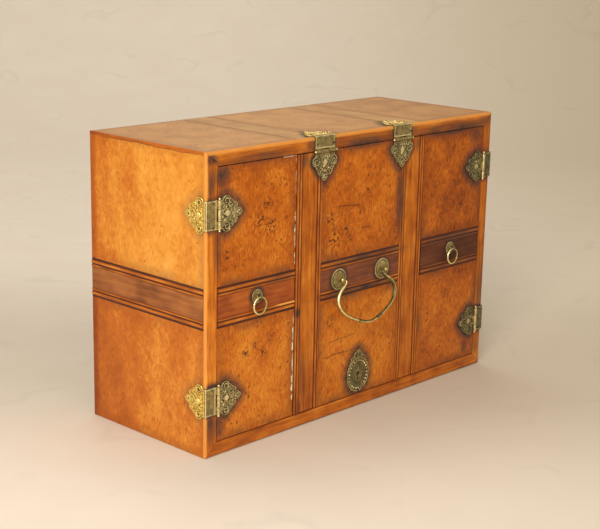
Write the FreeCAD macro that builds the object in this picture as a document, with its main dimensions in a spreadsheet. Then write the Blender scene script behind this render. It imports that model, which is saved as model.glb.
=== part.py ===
"""Veneered table box with two side doors and a centre flap that lifts.

Millimetres. The origin is the centre of the underside, +X runs to the right as seen from the
front, the front faces -Y and +Z is up.
"""
import FreeCAD, Part
import math
import os

import Sketcher

doc = FreeCAD.newDocument("TableBox")
sheet = doc.addObject("Spreadsheet::Sheet", "Sizes")
nodes = []


class Term:
    """A length that carries its number and its formula over the sheet's cells."""

    def __init__(self, value, formula):
        self.value = value
        self.formula = formula

    @staticmethod
    def of(item):
        """Returns item as a Term, plain numbers included."""
        if isinstance(item, Term):
            return item
        return Term(float(item), repr(float(item)))

    def __add__(self, other):
        other = Term.of(other)
        return Term(self.value + other.value, f"({self.formula} + {other.formula})")

    def __sub__(self, other):
        other = Term.of(other)
        return Term(self.value - other.value, f"({self.formula} - {other.formula})")

    def __mul__(self, other):
        other = Term.of(other)
        return Term(self.value * other.value, f"({self.formula} * {other.formula})")

    def __truediv__(self, other):
        other = Term.of(other)
        return Term(self.value / other.value, f"({self.formula} / {other.formula})")

    def __neg__(self):
        return Term(-self.value, f"(0 - {self.formula})")

    def __radd__(self, other):
        return Term.of(other) + self

    def __rsub__(self, other):
        return Term.of(other) - self

    def __rmul__(self, other):
        return Term.of(other) * self


def root(term):
    """Square root of a term."""
    return Term(math.sqrt(term.value), f"sqrt({term.formula})")


def size(alias, value):
    """Writes one driving dimension into the sheet and returns it as a term."""
    size.row += 1
    cell = f"A{size.row}"
    sheet.set(cell, str(value))
    sheet.setAlias(cell, alias)
    return Term(float(value), f"Sizes.{alias}")


size.row = 0

# Case
case_width = size("case_width", 400)
case_depth = size("case_depth", 157)
case_height = size("case_height", 273)
case_board = size("case_board", 11.6)
bottom_thick = size("bottom_thick", 13)
veneer = size("veneer", 1.4)
lipping_depth = size("lipping_depth", 3)
lipping_round = size("lipping_round", 1.2)
back_thick = size("back_thick", 9)
back_rebate = size("back_rebate", 6)
back_nail_length = size("back_nail_length", 16)
foot_round = size("foot_round", 4)
crown_round = size("crown_round", 1.8)
tail_flare = size("tail_flare", 1.6)
tail_share = 0.55
tail_count = 4
back_nail_rows = 4
partition_thick = size("partition_thick", 9)
housing_depth = size("housing_depth", 3)
shelf_thick = size("shelf_thick", 6)
shelf_level = size("shelf_level", 134)
shelf_setback = size("shelf_setback", 8)

# Doors and flap
door_board = size("door_board", 9)
door_gap = size("door_gap", 0.7)
meeting_gap = size("meeting_gap", 1.6)
stop_gap = size("stop_gap", 0.3)
flap_width = size("flap_width", 179)
stile_width = size("stile_width", 33)
stile_bead = size("stile_bead", 2.4)
stile_line = size("stile_line", 1)

# Waist band, counted out from its middle
waist_level = size("waist_level", 135.8)
band_width = size("band_width", 21)
narrow_bead = size("narrow_bead", 2)
thin_line = size("thin_line", 1)
wide_bead = size("wide_bead", 3.2)
dark_line = size("dark_line", 2)
bead_rise = size("bead_rise", 0.6)
top_line = size("top_line", 2)

# Hinges
hinge_length = size("hinge_length", 26)
upper_hinge_inset = size("upper_hinge_inset", 41.5)
lower_hinge_inset = size("lower_hinge_inset", 39)
flap_hinge_inset = size("flap_hinge_inset", 34.5)
leaf_thick = size("leaf_thick", 1.5)
leaf_reach = size("leaf_reach", 28.5)
corner_reach = size("corner_reach", 26)
leaf_spread = size("leaf_spread", 16.4)
lobe_radius = size("lobe_radius", 5.4)
scallop_radius = size("scallop_radius", 4.3)
tip_radius = size("tip_radius", 1.8)
knuckle_radius = size("knuckle_radius", 1.6)
knuckle_gap = size("knuckle_gap", 0.25)
middle_knuckle = size("middle_knuckle", 10.5)
knuckle_stand = size("knuckle_stand", 0.4)
hinge_pin_radius = size("hinge_pin_radius", 0.8)
hinge_pin_head = size("hinge_pin_head", 1.2)
running_clearance = size("running_clearance", 0.06)
nail_radius = size("nail_radius", 0.6)
nail_head = size("nail_head", 1.1)
nail_rise = size("nail_rise", 0.5)
nail_length = size("nail_length", 5)
lobe_share = 0.28
middle_share = 0.38
scallop_share = 0.62
tip_share = 0.8

# Bail handle
handle_drop = size("handle_drop", 1.2)
handle_spacing = size("handle_spacing", 62.5)
rosette_radius = size("rosette_radius", 10.2)
rosette_rim = size("rosette_rim", 0.6)
rosette_dome = size("rosette_dome", 2.2)
post_radius = size("post_radius", 1.7)
post_head = size("post_head", 3)
bail_stand = size("bail_stand", 5.4)
bail_radius = size("bail_radius", 1.4)
bail_drop = size("bail_drop", 45)
bail_flare = size("bail_flare", 13.75)
bail_shoulder = size("bail_shoulder", 19.5)
bail_foot_inset = size("bail_foot_inset", 17.25)
bail_side_radius = size("bail_side_radius", 7.5)
bail_foot_radius = size("bail_foot_radius", 25)
bail_bend = size("bail_bend", 1.7)
bail_lean_angle = size("bail_lean_angle", 12)
neck_share = 2.8
leg_length = size("leg_length", 6)
leg_thick = size("leg_thick", 1)

# Ring pulls
ring_lift = size("ring_lift", 2.2)
ring_radius = size("ring_radius", 7.6)
ring_wire = size("ring_wire", 0.95)
ring_plate_radius = size("ring_plate_radius", 6.3)
ring_plate_rim = size("ring_plate_rim", 0.4)
ring_plate_dome = size("ring_plate_dome", 0.8)
eye_radius = size("eye_radius", 2.3)
eye_wire = size("eye_wire", 0.75)
eye_gap = size("eye_gap", 0.1)
eye_shank = size("eye_shank", 1.1)
hang_gap = size("hang_gap", 0.2)

# Lock and escutcheon
key_lift = size("key_lift", 19.4)
key_radius = size("key_radius", 3)
key_slot_width = size("key_slot_width", 2.8)
key_slot_drop = size("key_slot_drop", 7)
key_pin_radius = size("key_pin_radius", 1)
escutcheon_width = size("escutcheon_width", 32)
escutcheon_oval = size("escutcheon_oval", 35)
escutcheon_drop = size("escutcheon_drop", 0.7)
escutcheon_thick = size("escutcheon_thick", 2)
escutcheon_pin_inset = size("escutcheon_pin_inset", 1.8)
crest_radius = size("crest_radius", 5)
crest_rise = size("crest_rise", 8)
crest_lobe_radius = size("crest_lobe_radius", 3.8)
crest_lobe_place = size("crest_lobe_place", 6.5)
lock_lift = size("lock_lift", 1.6)
lock_plate_thick = size("lock_plate_thick", 1.5)
lock_margin = size("lock_margin", 4.5)
cap_depth = size("cap_depth", 7.5)
cap_wall = size("cap_wall", 1.2)
cap_room = size("cap_room", 1.2)
bolt_place = size("bolt_place", 9)
bolt_width = size("bolt_width", 9)
bolt_thick = size("bolt_thick", 4)
bolt_length = size("bolt_length", 24)
bolt_throw = size("bolt_throw", 6)
bolt_clearance = size("bolt_clearance", 0.15)
bolt_setback = size("bolt_setback", 0.6)
talon_depth = size("talon_depth", 3)
talon_height = size("talon_height", 5)
guide_radius = size("guide_radius", 1.2)
guide_wall = size("guide_wall", 1.2)
spring_thick = size("spring_thick", 0.5)
strike_thick = size("strike_thick", 1.2)
strike_margin = size("strike_margin", 6)

# Edges picked for rounding are longer than this and lie this close to their plane
short_edge = 1
edge_tolerance = 0.01

# Planes and levels that several pieces share
half_width = case_width / 2
front = -case_depth / 2
rear = case_depth / 2
case_top = case_height
side_inner = half_width - veneer - case_board
side_outer = half_width - veneer
top_under = case_height - veneer - case_board
top_board_face = case_height - veneer
frame_width = veneer + case_board
back_face = rear - back_thick
door_thick = veneer + door_board
board_face = front + veneer
door_back = front + door_thick
lipping_back = front + lipping_depth
partition_front = door_back + stop_gap
leaf_low = bottom_thick + door_gap
leaf_high = top_under - door_gap
flap_half = flap_width / 2
panel_half = flap_half - stile_width
door_inner = flap_half + meeting_gap
door_outer = side_inner - door_gap
partition_middle = flap_half + meeting_gap / 2
partition_near = partition_middle - partition_thick / 2
partition_far = partition_middle + partition_thick / 2
door_middle = (door_inner + door_outer) / 2
hinge_axis_side = side_inner - door_gap / 2
hinge_axis_top = top_under - door_gap / 2
axis_offset = knuckle_radius + knuckle_stand
hinge_axis_front = front - axis_offset
hinge_upper = top_under - upper_hinge_inset
hinge_lower = bottom_thick + lower_hinge_inset
flap_hinge_place = flap_half - flap_hinge_inset
handle_level = waist_level - handle_drop
ring_level = waist_level + ring_lift
eye_stand = ring_plate_dome + eye_gap + eye_wire + eye_radius
lock_low = bottom_thick + lock_lift
key_level = lock_low + key_lift
zero = Term.of(0)

Z_UP = FreeCAD.Rotation()
TOWARDS_FRONT = FreeCAD.Rotation(FreeCAD.Vector(1, 0, 0), 90)
TOWARDS_BACK = FreeCAD.Rotation(FreeCAD.Vector(1, 0, 0), -90)
TOWARDS_RIGHT = FreeCAD.Rotation(FreeCAD.Vector(0, 1, 0), 90)
TOWARDS_LEFT = FreeCAD.Rotation(FreeCAD.Vector(0, 1, 0), -90)


def bind(item, **sizes):
    """Ties properties of a document object to terms."""
    for name, term in sizes.items():
        item.setExpression(name, Term.of(term).formula)


def place(item, x, y, z, rotation=Z_UP):
    """Turns an object and ties its place to terms."""
    item.Placement = FreeCAD.Placement(FreeCAD.Vector(), rotation)
    for axis, term in zip("xyz", (x, y, z)):
        item.setExpression(f"Placement.Base.{axis}", Term.of(term).formula)
    return item


def box(name, x_range, y_range, z_range):
    """A block between pairs of terms."""
    item = doc.addObject("Part::Box", name)
    lows = [Term.of(pair[0]) for pair in (x_range, y_range, z_range)]
    spans = [Term.of(pair[1]) - pair[0] for pair in (x_range, y_range, z_range)]
    bind(item, Length=spans[0], Width=spans[1], Height=spans[2])
    return place(item, *lows)


def cylinder(name, radius, length, start, rotation=Z_UP):
    """A round bar that leaves start along the turned Z direction."""
    item = doc.addObject("Part::Cylinder", name)
    bind(item, Radius=radius, Height=length)
    return place(item, *start, rotation)


def cone(name, low_radius, high_radius, length, start, rotation=Z_UP):
    """A tapered bar that leaves start along the turned Z direction."""
    item = doc.addObject("Part::Cone", name)
    bind(item, Radius1=low_radius, Radius2=high_radius, Height=length)
    return place(item, *start, rotation)


def torus(name, radius, wire, centre, rotation):
    """A ring of round wire."""
    item = doc.addObject("Part::Torus", name)
    bind(item, Radius1=radius, Radius2=wire)
    return place(item, *centre, rotation)


def fuse(name, items):
    """One solid from several that meet or overlap."""
    item = doc.addObject("Part::MultiFuse", name)
    item.Shapes = items
    item.Refine = True
    return item


def cut(name, base, *tools):
    """Base with each tool taken away in turn."""
    for number, tool in enumerate(tools):
        last = number == len(tools) - 1
        item = doc.addObject("Part::Cut", name if last else f"{name}_step{number}")
        item.Base = base
        item.Tool = tool
        item.Refine = True
        base = item
    return base


def common(name, base, tool):
    """What base and tool share."""
    item = doc.addObject("Part::Common", name)
    item.Base = base
    item.Tool = tool
    item.Refine = True
    return item


def group(name, items):
    """Separate solids kept together."""
    item = doc.addObject("Part::Compound", name)
    item.Links = items
    return item


def node(label, item):
    """Marks an object as a finished sub-part."""
    item.Label = label
    nodes.append(item)
    return item


def across(side, near, far):
    """The X range from near to far of the middle, on the right (+1) or the left (-1)."""
    near, far = Term.of(near), Term.of(far)
    return (near, far) if side > 0 else (-far, -near)


def origin_plane(body, role):
    """The body's own origin plane of that role."""
    return next(item for item in body.Origin.OriginFeatures if item.Role == role)


def arc_between(start, end, radius):
    """The arc under half a turn from start to end: a positive radius turns left, a negative right."""
    middle = (start + end) / 2
    chord = end - start
    left = FreeCAD.Vector(-chord.y, chord.x, 0).normalize()
    height = math.sqrt(max(radius * radius - chord.Length ** 2 / 4, 0))
    turn = 1 if radius > 0 else -1
    centre = middle + left * height * turn
    first, last = (start, end) if turn > 0 else (end, start)
    angles = [math.atan2(point.y - centre.y, point.x - centre.x) for point in (first, last)]
    circle = Part.Circle(centre, FreeCAD.Vector(0, 0, 1), abs(radius))
    return Part.ArcOfCircle(circle, angles[0], angles[1])


def draw(body, name, plane, points, radii=None, closed=True):
    """Sketches a chain through points of terms.

    radii maps the number of a stretch to its arc radius: positive turns left, negative right.
    """
    radii = radii or {}
    sketch = body.newObject("Sketcher::SketchObject", name)
    sketch.AttachmentSupport = (origin_plane(body, plane), [""])
    sketch.MapMode = "FlatFace"
    spots = [FreeCAD.Vector(Term.of(x).value, Term.of(y).value, 0) for x, y in points]
    count = len(points) if closed else len(points) - 1
    ends = []
    for number in range(count):
        start, end = spots[number], spots[(number + 1) % len(spots)]
        if number in radii:
            radius = radii[number]
            sketch.addGeometry(arc_between(start, end, radius.value))
            ends.append((1, 2) if radius.value > 0 else (2, 1))
        else:
            sketch.addGeometry(Part.LineSegment(start, end))
            ends.append((1, 2))
    joins = count if closed else count - 1
    for number in range(joins):
        following = (number + 1) % count
        sketch.addConstraint(Sketcher.Constraint(
            "Coincident", number, ends[number][1], following, ends[following][0]))
    for number, point in enumerate(points):
        stretch, end = (number, ends[number][0]) if number < count else (count - 1, ends[-1][1])
        for letter, term in zip("XY", point):
            term = Term.of(term)
            index = sketch.addConstraint(Sketcher.Constraint(
                f"Distance{letter}", -1, 1, stretch, end, term.value))
            sketch.setExpression(f"Constraints[{index}]", term.formula)
    for number, radius in radii.items():
        index = sketch.addConstraint(Sketcher.Constraint("Radius", number, abs(radius.value)))
        sign = 1 if radius.value > 0 else -1
        sketch.setExpression(f"Constraints[{index}]", (radius * sign).formula)
    return sketch


def padded(name, plane, points, depth, radii=None):
    """A body with one closed sketch, padded by depth."""
    body = doc.addObject("PartDesign::Body", name)
    sketch = draw(body, f"{name}_outline", plane, points, radii)
    pad = body.newObject("PartDesign::Pad", f"{name}_pad")
    pad.Profile = sketch
    bind(pad, Length=depth)
    return body


def turned(name, points, radii):
    """A body turned about its own Z axis from a half profile."""
    body = doc.addObject("PartDesign::Body", name)
    sketch = draw(body, f"{name}_profile", "XZ_Plane", points, radii)
    turning = body.newObject("PartDesign::Revolution", f"{name}_turning")
    turning.Profile = sketch
    turning.ReferenceAxis = (sketch, ["V_Axis"])
    turning.Angle = 360
    return body


def rounded(body, name, radius, wanted):
    """Rounds the edges of a body's last feature whose middles satisfy wanted."""
    doc.recompute()
    base = body.Tip
    edges = [f"Edge{number}" for number, edge in enumerate(base.Shape.Edges, 1)
             if wanted(edge.BoundBox.Center, edge.BoundBox)]
    fillet = body.newObject("PartDesign::Fillet", name)
    fillet.Base = (base, edges)
    bind(fillet, Radius=radius)
    return body


def copy_of(name, item, x, y, z, rotation=Z_UP):
    """A second place for an object built at the origin."""
    return place(group(name, [item]), x, y, z, rotation)


def nail(name, x, y, z, rotation=Z_UP, length=nail_length):
    """A nail whose head stands out of the surface at x, y, z."""
    head = cone(f"{name}_head", nail_head, nail_radius, nail_rise, (zero, zero, zero))
    shank = cylinder(f"{name}_shank", nail_radius, length, (zero, zero, -length))
    return place(fuse(name, [head, shank]), x, y, z, rotation)


def bead(name, plane, back, face, low, high, length):
    """A half-round strip let into the veneer, from its back to a little above the face.

    low and high are its two edges, and the plane is square to its run.
    """
    width = high - low
    curve = (width * width / 4 + bead_rise * bead_rise) / (2 * bead_rise)
    corners = [(back, low), (face, low), (face, high), (back, high)]
    turn = 1 if face.value > back.value else -1
    if plane == "XY_Plane":
        corners = [(level, at) for at, level in corners]
        turn = -turn
    return padded(name, plane, corners, length, {1: curve * turn})


def front_bead(name, x_range, z_range):
    """A bead that runs across the front."""
    strip = bead(name, "YZ_Plane", board_face, front, *z_range, x_range[1] - x_range[0])
    return place(strip, x_range[0], zero, zero)


def stile_edge(name, x_range, z_range):
    """A bead that runs up the front."""
    strip = bead(name, "XY_Plane", board_face, front, *x_range, z_range[1] - z_range[0])
    return place(strip, zero, zero, z_range[0])


def side_bead(name, side, z_range):
    """A bead along one side of the case, from the back to the lipping."""
    strip = bead(name, "XZ_Plane", side_outer * side, half_width * side, *z_range, rear - lipping_back)
    return place(strip, zero, rear, zero)


def waist_steps():
    """The waist band's strips as (kind, near, far) distances from its middle."""
    edge = band_width / 2
    steps = []
    widths = (("bead", narrow_bead), ("line", thin_line), ("bead", wide_bead), ("line", dark_line))
    for kind, width in widths:
        steps.append((kind, edge, edge + width))
        edge = edge + width
    return steps


waist_reach = waist_steps()[-1][2]


def waist_strips(name, make_bead, make_line):
    """Beads and dark lines above and below one waist band."""
    strips = {"bead": [], "line": []}
    for number, (kind, near, far) in enumerate(waist_steps()):
        spans = {"upper": (waist_level + near, waist_level + far),
                 "lower": (waist_level - far, waist_level - near)}
        for level, z_range in spans.items():
            make = make_bead if kind == "bead" else make_line
            strips[kind].append(make(f"{name}_{kind}_{level}{number}", z_range))
    return strips


# Case boards: dovetailed at the corners, rebated for the back, housed for partitions and shelves
board_run = case_depth - lipping_depth
tail_pitch = board_run / tail_count
tail_half = tail_pitch * tail_share / 2


def side_outline():
    """Corners of a side board in Y and Z, with tails on both ends."""
    points = []
    middles = [lipping_back + tail_pitch * (number + 0.5) for number in range(tail_count)]
    for middle in middles:
        points.append((middle - tail_half, bottom_thick))
        points.append((middle - tail_half - tail_flare, zero))
        points.append((middle + tail_half + tail_flare, zero))
        points.append((middle + tail_half, bottom_thick))
    points.append((rear, bottom_thick))
    points.append((rear, top_under))
    for middle in reversed(middles):
        points.append((middle + tail_half, top_under))
        points.append((middle + tail_half + tail_flare, top_board_face))
        points.append((middle - tail_half - tail_flare, top_board_face))
        points.append((middle - tail_half, top_under))
    points.append((lipping_back, top_under))
    points.append((lipping_back, bottom_thick))
    return points


envelope = doc.addObject("PartDesign::Body", "envelope")
envelope_block = envelope.newObject("PartDesign::AdditiveBox", "envelope_block")
bind(envelope_block, Length=case_width, Width=case_depth, Height=case_height)
rounded(envelope, "envelope_foot", foot_round,
        lambda middle, span: span.XLength > short_edge and middle.y > short_edge and middle.z < short_edge)
rounded(envelope, "envelope_crown", crown_round,
        lambda middle, span: (span.XLength > short_edge and middle.y > short_edge
                              and middle.z > case_height.value - short_edge))
place(envelope, -half_width, front, zero)

back_half = side_inner + back_rebate
back_blank = box("back_blank", (-back_half, back_half), (back_face, rear),
                 (bottom_thick - back_rebate, top_under + back_rebate))
back_shape = common("back_shape", back_blank, envelope)


def back_nail_spots():
    """Nails through the back board into the rebates, spread along the four edges."""
    inset = back_rebate / 2
    spots = []
    for number in range(back_nail_rows):
        x = back_half * ((2 * number + 1) / back_nail_rows - 1)
        spots.append((x, bottom_thick - inset))
        spots.append((x, top_under + inset))
    for side in (-1, 1):
        for share in (1 / 3, 2 / 3):
            spots.append(((side_inner + inset) * side, bottom_thick + (top_under - bottom_thick) * share))
    return spots


back_nails = group("back_nails", [
    nail(f"back_nail_{number}", x, rear - nail_rise, z, TOWARDS_BACK, back_nail_length)
    for number, (x, z) in enumerate(back_nail_spots())])
node("back_nails", back_nails)
node("back_board", cut("back_board", back_shape, back_nails))

partitions = {}
shelves = {}
for side, word in ((-1, "left"), (1, "right")):
    x_range = across(side, partition_near, partition_far)
    blank = box(f"{word}_partition_blank", x_range, (partition_front, back_face),
                (bottom_thick - housing_depth, top_under + housing_depth))
    x_range = across(side, partition_far - housing_depth, side_inner + housing_depth)
    shelf = box(f"{word}_shelf", x_range, (partition_front + shelf_setback, back_face),
                (shelf_level - shelf_thick / 2, shelf_level + shelf_thick / 2))
    shelves[word] = node(f"{word}_shelf", shelf)
    partitions[word] = node(f"{word}_partition", cut(f"{word}_partition", blank, shelf))

# One hinge, drawn about its own axis: X towards the moving leaf, Y into the wood, Z along the pin
knuckle_clear = knuckle_radius + 2 * knuckle_gap
outer_corner = door_gap / 2 + frame_width
half_hinge = hinge_length / 2
half_middle = middle_knuckle / 2
plate_face = axis_offset - leaf_thick


def lobes(name, start, reach, make_disc):
    """Discs of one pointed, lobed leaf: start and reach are measured from the fold line."""
    run = reach - start
    lobe_out = leaf_spread - lobe_radius
    scallop_out = lobe_out - scallop_radius - tip_radius / 2
    spots = [(start + run * lobe_share, lobe_out, lobe_radius),
             (start + run * lobe_share, -lobe_out, lobe_radius),
             (start + run * middle_share, zero, lobe_radius + scallop_radius),
             (start + run * scallop_share, scallop_out, scallop_radius),
             (start + run * scallop_share, -scallop_out, scallop_radius),
             (start + run * tip_share, zero, scallop_radius),
             (reach - tip_radius, zero, tip_radius)]
    return [make_disc(f"{name}_disc{number}", *spot) for number, spot in enumerate(spots)]


def leaf_disc(name, out, level, radius):
    """A disc of the moving leaf, flat on the door."""
    return cylinder(name, radius, leaf_thick, (out, axis_offset, level), TOWARDS_FRONT)


def corner_disc(name, out, level, radius):
    """A disc of the fixed leaf, flat on the outer face of the case."""
    return cylinder(name, radius, leaf_thick, (-outer_corner, axis_offset + out, level), TOWARDS_LEFT)


def lobe_root(start, reach):
    """How far the plain part of a leaf runs before its lobes."""
    return start + (reach - start) * lobe_share


hinge_leaf_blank = fuse("hinge_leaf_blank", [
    box("hinge_leaf_root", (knuckle_clear, lobe_root(knuckle_clear, leaf_reach)),
        (plate_face, axis_offset), (-half_hinge, half_hinge)),
    box("hinge_leaf_tab", (zero, knuckle_clear), (plate_face, axis_offset), (-half_middle, half_middle)),
    cylinder("hinge_leaf_knuckle", knuckle_radius, middle_knuckle, (zero, zero, -half_middle)),
] + lobes("hinge_leaf", knuckle_clear, leaf_reach, leaf_disc))
hinge_bore = cylinder("hinge_bore", hinge_pin_radius + running_clearance, hinge_length,
                      (zero, zero, -half_hinge))
outer_start = half_middle + knuckle_gap
corner_pieces = [
    box("corner_front", (-(outer_corner + leaf_thick), -knuckle_clear),
        (plate_face, axis_offset), (-half_hinge, half_hinge)),
    box("corner_root", (-(outer_corner + leaf_thick), -outer_corner),
        (plate_face, axis_offset + lobe_root(zero, corner_reach)), (-half_hinge, half_hinge)),
]
for level, (low, high) in {"low": (-half_hinge, -outer_start), "high": (outer_start, half_hinge)}.items():
    corner_pieces.append(box(f"corner_tab_{level}", (-knuckle_clear, zero), (plate_face, axis_offset),
                             (low, high)))
    corner_pieces.append(cylinder(f"corner_knuckle_{level}", knuckle_radius, high - low, (zero, zero, low)))
corner_blank = fuse("corner_blank", corner_pieces + lobes("corner", zero, corner_reach, corner_disc))
pin_bar = cylinder("pin_bar", hinge_pin_radius, hinge_length, (zero, zero, -half_hinge))
pin_head_rise = hinge_pin_radius
hinge_pin = fuse("hinge_pin", [
    pin_bar,
    cylinder("pin_head_high", hinge_pin_head, pin_head_rise, (zero, zero, half_hinge)),
    cylinder("pin_head_low", hinge_pin_head, pin_head_rise, (zero, zero, -half_hinge - pin_head_rise)),
])
nail_level = leaf_spread - lobe_radius
leaf_nail_out = lobe_root(knuckle_clear, leaf_reach)
leaf_tip_nail = knuckle_clear + (leaf_reach - knuckle_clear) * tip_share
hinge_leaf_nails = group("hinge_leaf_nails", [
    nail("leaf_nail_high", leaf_nail_out, plate_face, nail_level, TOWARDS_FRONT),
    nail("leaf_nail_low", leaf_nail_out, plate_face, -nail_level, TOWARDS_FRONT),
    nail("leaf_nail_tip", leaf_tip_nail, plate_face, zero, TOWARDS_FRONT),
])
corner_nail_level = half_hinge - 2 * nail_head
corner_face = -(outer_corner + leaf_thick)
corner_nail_back = axis_offset + lobe_root(zero, corner_reach)
corner_tip_nail = axis_offset + corner_reach * tip_share
corner_nail_side = -outer_corner / 2
corner_nails = group("corner_nails", [
    nail("corner_nail_high", corner_nail_side, plate_face, corner_nail_level, TOWARDS_FRONT),
    nail("corner_nail_low", corner_nail_side, plate_face, -corner_nail_level, TOWARDS_FRONT),
    nail("corner_nail_lobe", corner_face, corner_nail_back, nail_level, TOWARDS_LEFT),
    nail("corner_nail_foot", corner_face, corner_nail_back, -nail_level, TOWARDS_LEFT),
    nail("corner_nail_tip", corner_face, corner_tip_nail, zero, TOWARDS_LEFT),
])
hinge_leaf = cut("hinge_leaf", hinge_leaf_blank, hinge_bore, hinge_leaf_nails)
corner_plate = cut("corner_plate", corner_blank, pin_bar, corner_nails)

hinge_turns = {"left": 0, "flap": 90, "right": 180}
hinge_spots = {
    "left": [(-hinge_axis_side, hinge_axis_front, level) for level in (hinge_upper, hinge_lower)],
    "right": [(hinge_axis_side, hinge_axis_front, level) for level in (hinge_upper, hinge_lower)],
    "flap": [(x, hinge_axis_front, hinge_axis_top) for x in (-flap_hinge_place, flap_hinge_place)],
}


def at_hinges(name, item, word):
    """A hinge piece repeated at the two hinges of one door or the flap."""
    turn = FreeCAD.Rotation(FreeCAD.Vector(0, 1, 0), hinge_turns[word])
    return group(name, [copy_of(f"{name}_{number}", item, *spot, turn)
                        for number, spot in enumerate(hinge_spots[word])])


leaf_sets = {}
leaf_nail_sets = {}
corner_nail_sets = {}
for word in hinge_turns:
    node_word = "flap" if word == "flap" else f"{word}_door"
    leaf_sets[word] = node(f"{node_word}_hinge_leaves", at_hinges(f"{word}_leaves", hinge_leaf, word))
    node(f"{word}_corner_plates", at_hinges(f"{word}_corners", corner_plate, word))
    leaf_nail_sets[word] = at_hinges(f"{word}_leaf_nails", hinge_leaf_nails, word)
    corner_nail_sets[word] = at_hinges(f"{word}_corner_nails", corner_nails, word)
node("hinge_pins", group("hinge_pins", [at_hinges(f"{word}_pins", hinge_pin, word) for word in hinge_turns]))

# Lock in the flap and its strike in the bottom board
lock_back = door_back + lock_plate_thick
bolt_front = lock_back + bolt_setback
bolt_x = (bolt_place - bolt_width / 2, bolt_place + bolt_width / 2)
bolt_y = (bolt_front, bolt_front + bolt_thick)
slot_x = (bolt_x[0] - bolt_clearance, bolt_x[1] + bolt_clearance)
slot_y = (bolt_y[0] - bolt_clearance, bolt_y[1] + bolt_clearance)
bolt_reach = lock_low - bolt_throw
mortise_low = bolt_reach - lock_lift
strike_x = (slot_x[0] - strike_margin, slot_x[1] + strike_margin)
strike_y = (slot_y[0] - cap_wall, slot_y[1] + cap_wall)
strike_blank = box("strike_blank", strike_x, strike_y, (bottom_thick - strike_thick, bottom_thick))
strike_slot = box("strike_slot", slot_x, slot_y, (mortise_low, bottom_thick + lock_lift))
strike_middle = (strike_y[0] + strike_y[1]) / 2
strike_nails = group("strike_nails", [
    nail(f"strike_nail_{number}", x, strike_middle, bottom_thick - nail_rise)
    for number, x in enumerate((slot_x[0] - strike_margin / 2, slot_x[1] + strike_margin / 2))])
strike_recess = fuse("strike_recess", [strike_blank, strike_slot])
node("strike_plate", cut("strike_plate", strike_blank, strike_slot, strike_nails))

# Side boards, top and bottom
sides = {}
for side, word in ((-1, "left"), (1, "right")):
    blank = padded(f"{word}_side_blank", "YZ_Plane", side_outline(), case_board)
    place(blank, *((side_inner,) if side > 0 else (-side_outer,)), zero, zero)
    sides[word] = blank
for word, blank in sides.items():
    shaped = common(f"{word}_side_shaped", blank, envelope)
    board = cut(f"{word}_side_board", shaped, back_shape, back_nails, shelves[word], corner_nail_sets[word])
    node(f"{word}_side_board", board)
top_blank = box("top_blank", (-side_outer, side_outer), (lipping_back, rear), (top_under, top_board_face))
node("top_board", cut("top_board", common("top_shaped", top_blank, envelope), sides["left"], sides["right"],
                      back_shape, back_nails, partitions["left"], partitions["right"],
                      corner_nail_sets["flap"]))
bottom_blank = box("bottom_blank", (-side_outer, side_outer), (lipping_back, rear), (zero, bottom_thick))
node("bottom_board", cut("bottom_board", common("bottom_shaped", bottom_blank, envelope), sides["left"],
                         sides["right"], back_shape, back_nails, partitions["left"],
                         partitions["right"], strike_recess, strike_nails))

# Front lipping: four mitred strips with a rounded outer edge
opening = {"left": -side_inner, "right": side_inner, "bottom": bottom_thick, "top": top_under}
rim = {"left": -half_width, "right": half_width, "bottom": zero, "top": case_top}
corner_words = {"left": ("bottom", "top"), "right": ("bottom", "top"), "bottom": ("left", "right"),
                "top": ("left", "right")}
lipping_tools = {"left": corner_nail_sets["left"], "right": corner_nail_sets["right"],
                 "top": corner_nail_sets["flap"]}
for word, (first, second) in corner_words.items():
    upright = word in ("left", "right")
    inner, outer = opening[word], rim[word]
    corners = [(outer, rim[first]), (outer, rim[second]), (inner, opening[second]), (inner, opening[first])]
    if not upright:
        corners = [(level, at) for at, level in corners]
    strip = padded(f"lipping_{word}_blank", "XZ_Plane", corners, lipping_depth)
    edge = outer.value

    def on_outer_edge(middle, span, upright=upright, edge=edge):
        """True for the long front edge on the strip's outer side."""
        across_middle = middle.x if upright else middle.z
        at_edge = abs(across_middle - edge) < edge_tolerance
        at_front = middle.y < edge_tolerance - lipping_depth.value
        return at_edge and at_front and max(span.XLength, span.ZLength) > short_edge

    rounded(strip, f"lipping_{word}_round", lipping_round, on_outer_edge)
    place(strip, zero, lipping_back, zero)
    tool = lipping_tools.get(word)
    node(f"lipping_{word}", cut(f"lipping_{word}", strip, tool) if tool else strip)

# Veneer on the outer faces of the case
case_lines = []
side_panels = []
side_bands = []
side_beads = []
for side, word in ((-1, "left"), (1, "right")):
    x_range = across(side, side_outer, half_width)
    y_range = (lipping_back, rear)

    def side_strip(name, z_range, side=side):
        """A bead along this side of the case."""
        return side_bead(name, side, z_range)

    def side_line(name, z_range, x_range=x_range, y_range=y_range):
        """A dark line along one side of the case."""
        return box(name, x_range, y_range, z_range)

    strips = waist_strips(f"{word}_side", side_strip, side_line)
    side_beads += strips["bead"]
    case_lines += strips["line"]
    side_bands.append(box(f"{word}_side_band", x_range, y_range,
                          (waist_level - band_width / 2, waist_level + band_width / 2)))
    for level, z_range in {"lower": (zero, waist_level - waist_reach),
                           "upper": (waist_level + waist_reach, case_top)}.items():
        panel = box(f"{word}_side_{level}_blank", x_range, y_range, z_range)
        shaped = common(f"{word}_side_{level}_shaped", panel, envelope)
        side_panels.append(cut(f"{word}_side_{level}_panel", shaped, corner_nail_sets[word]))
node("side_burr_panels", group("side_burr_panels", side_panels))
node("side_waist_bands", group("side_waist_bands", side_bands))
node("side_beads", group("side_beads", side_beads))

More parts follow.
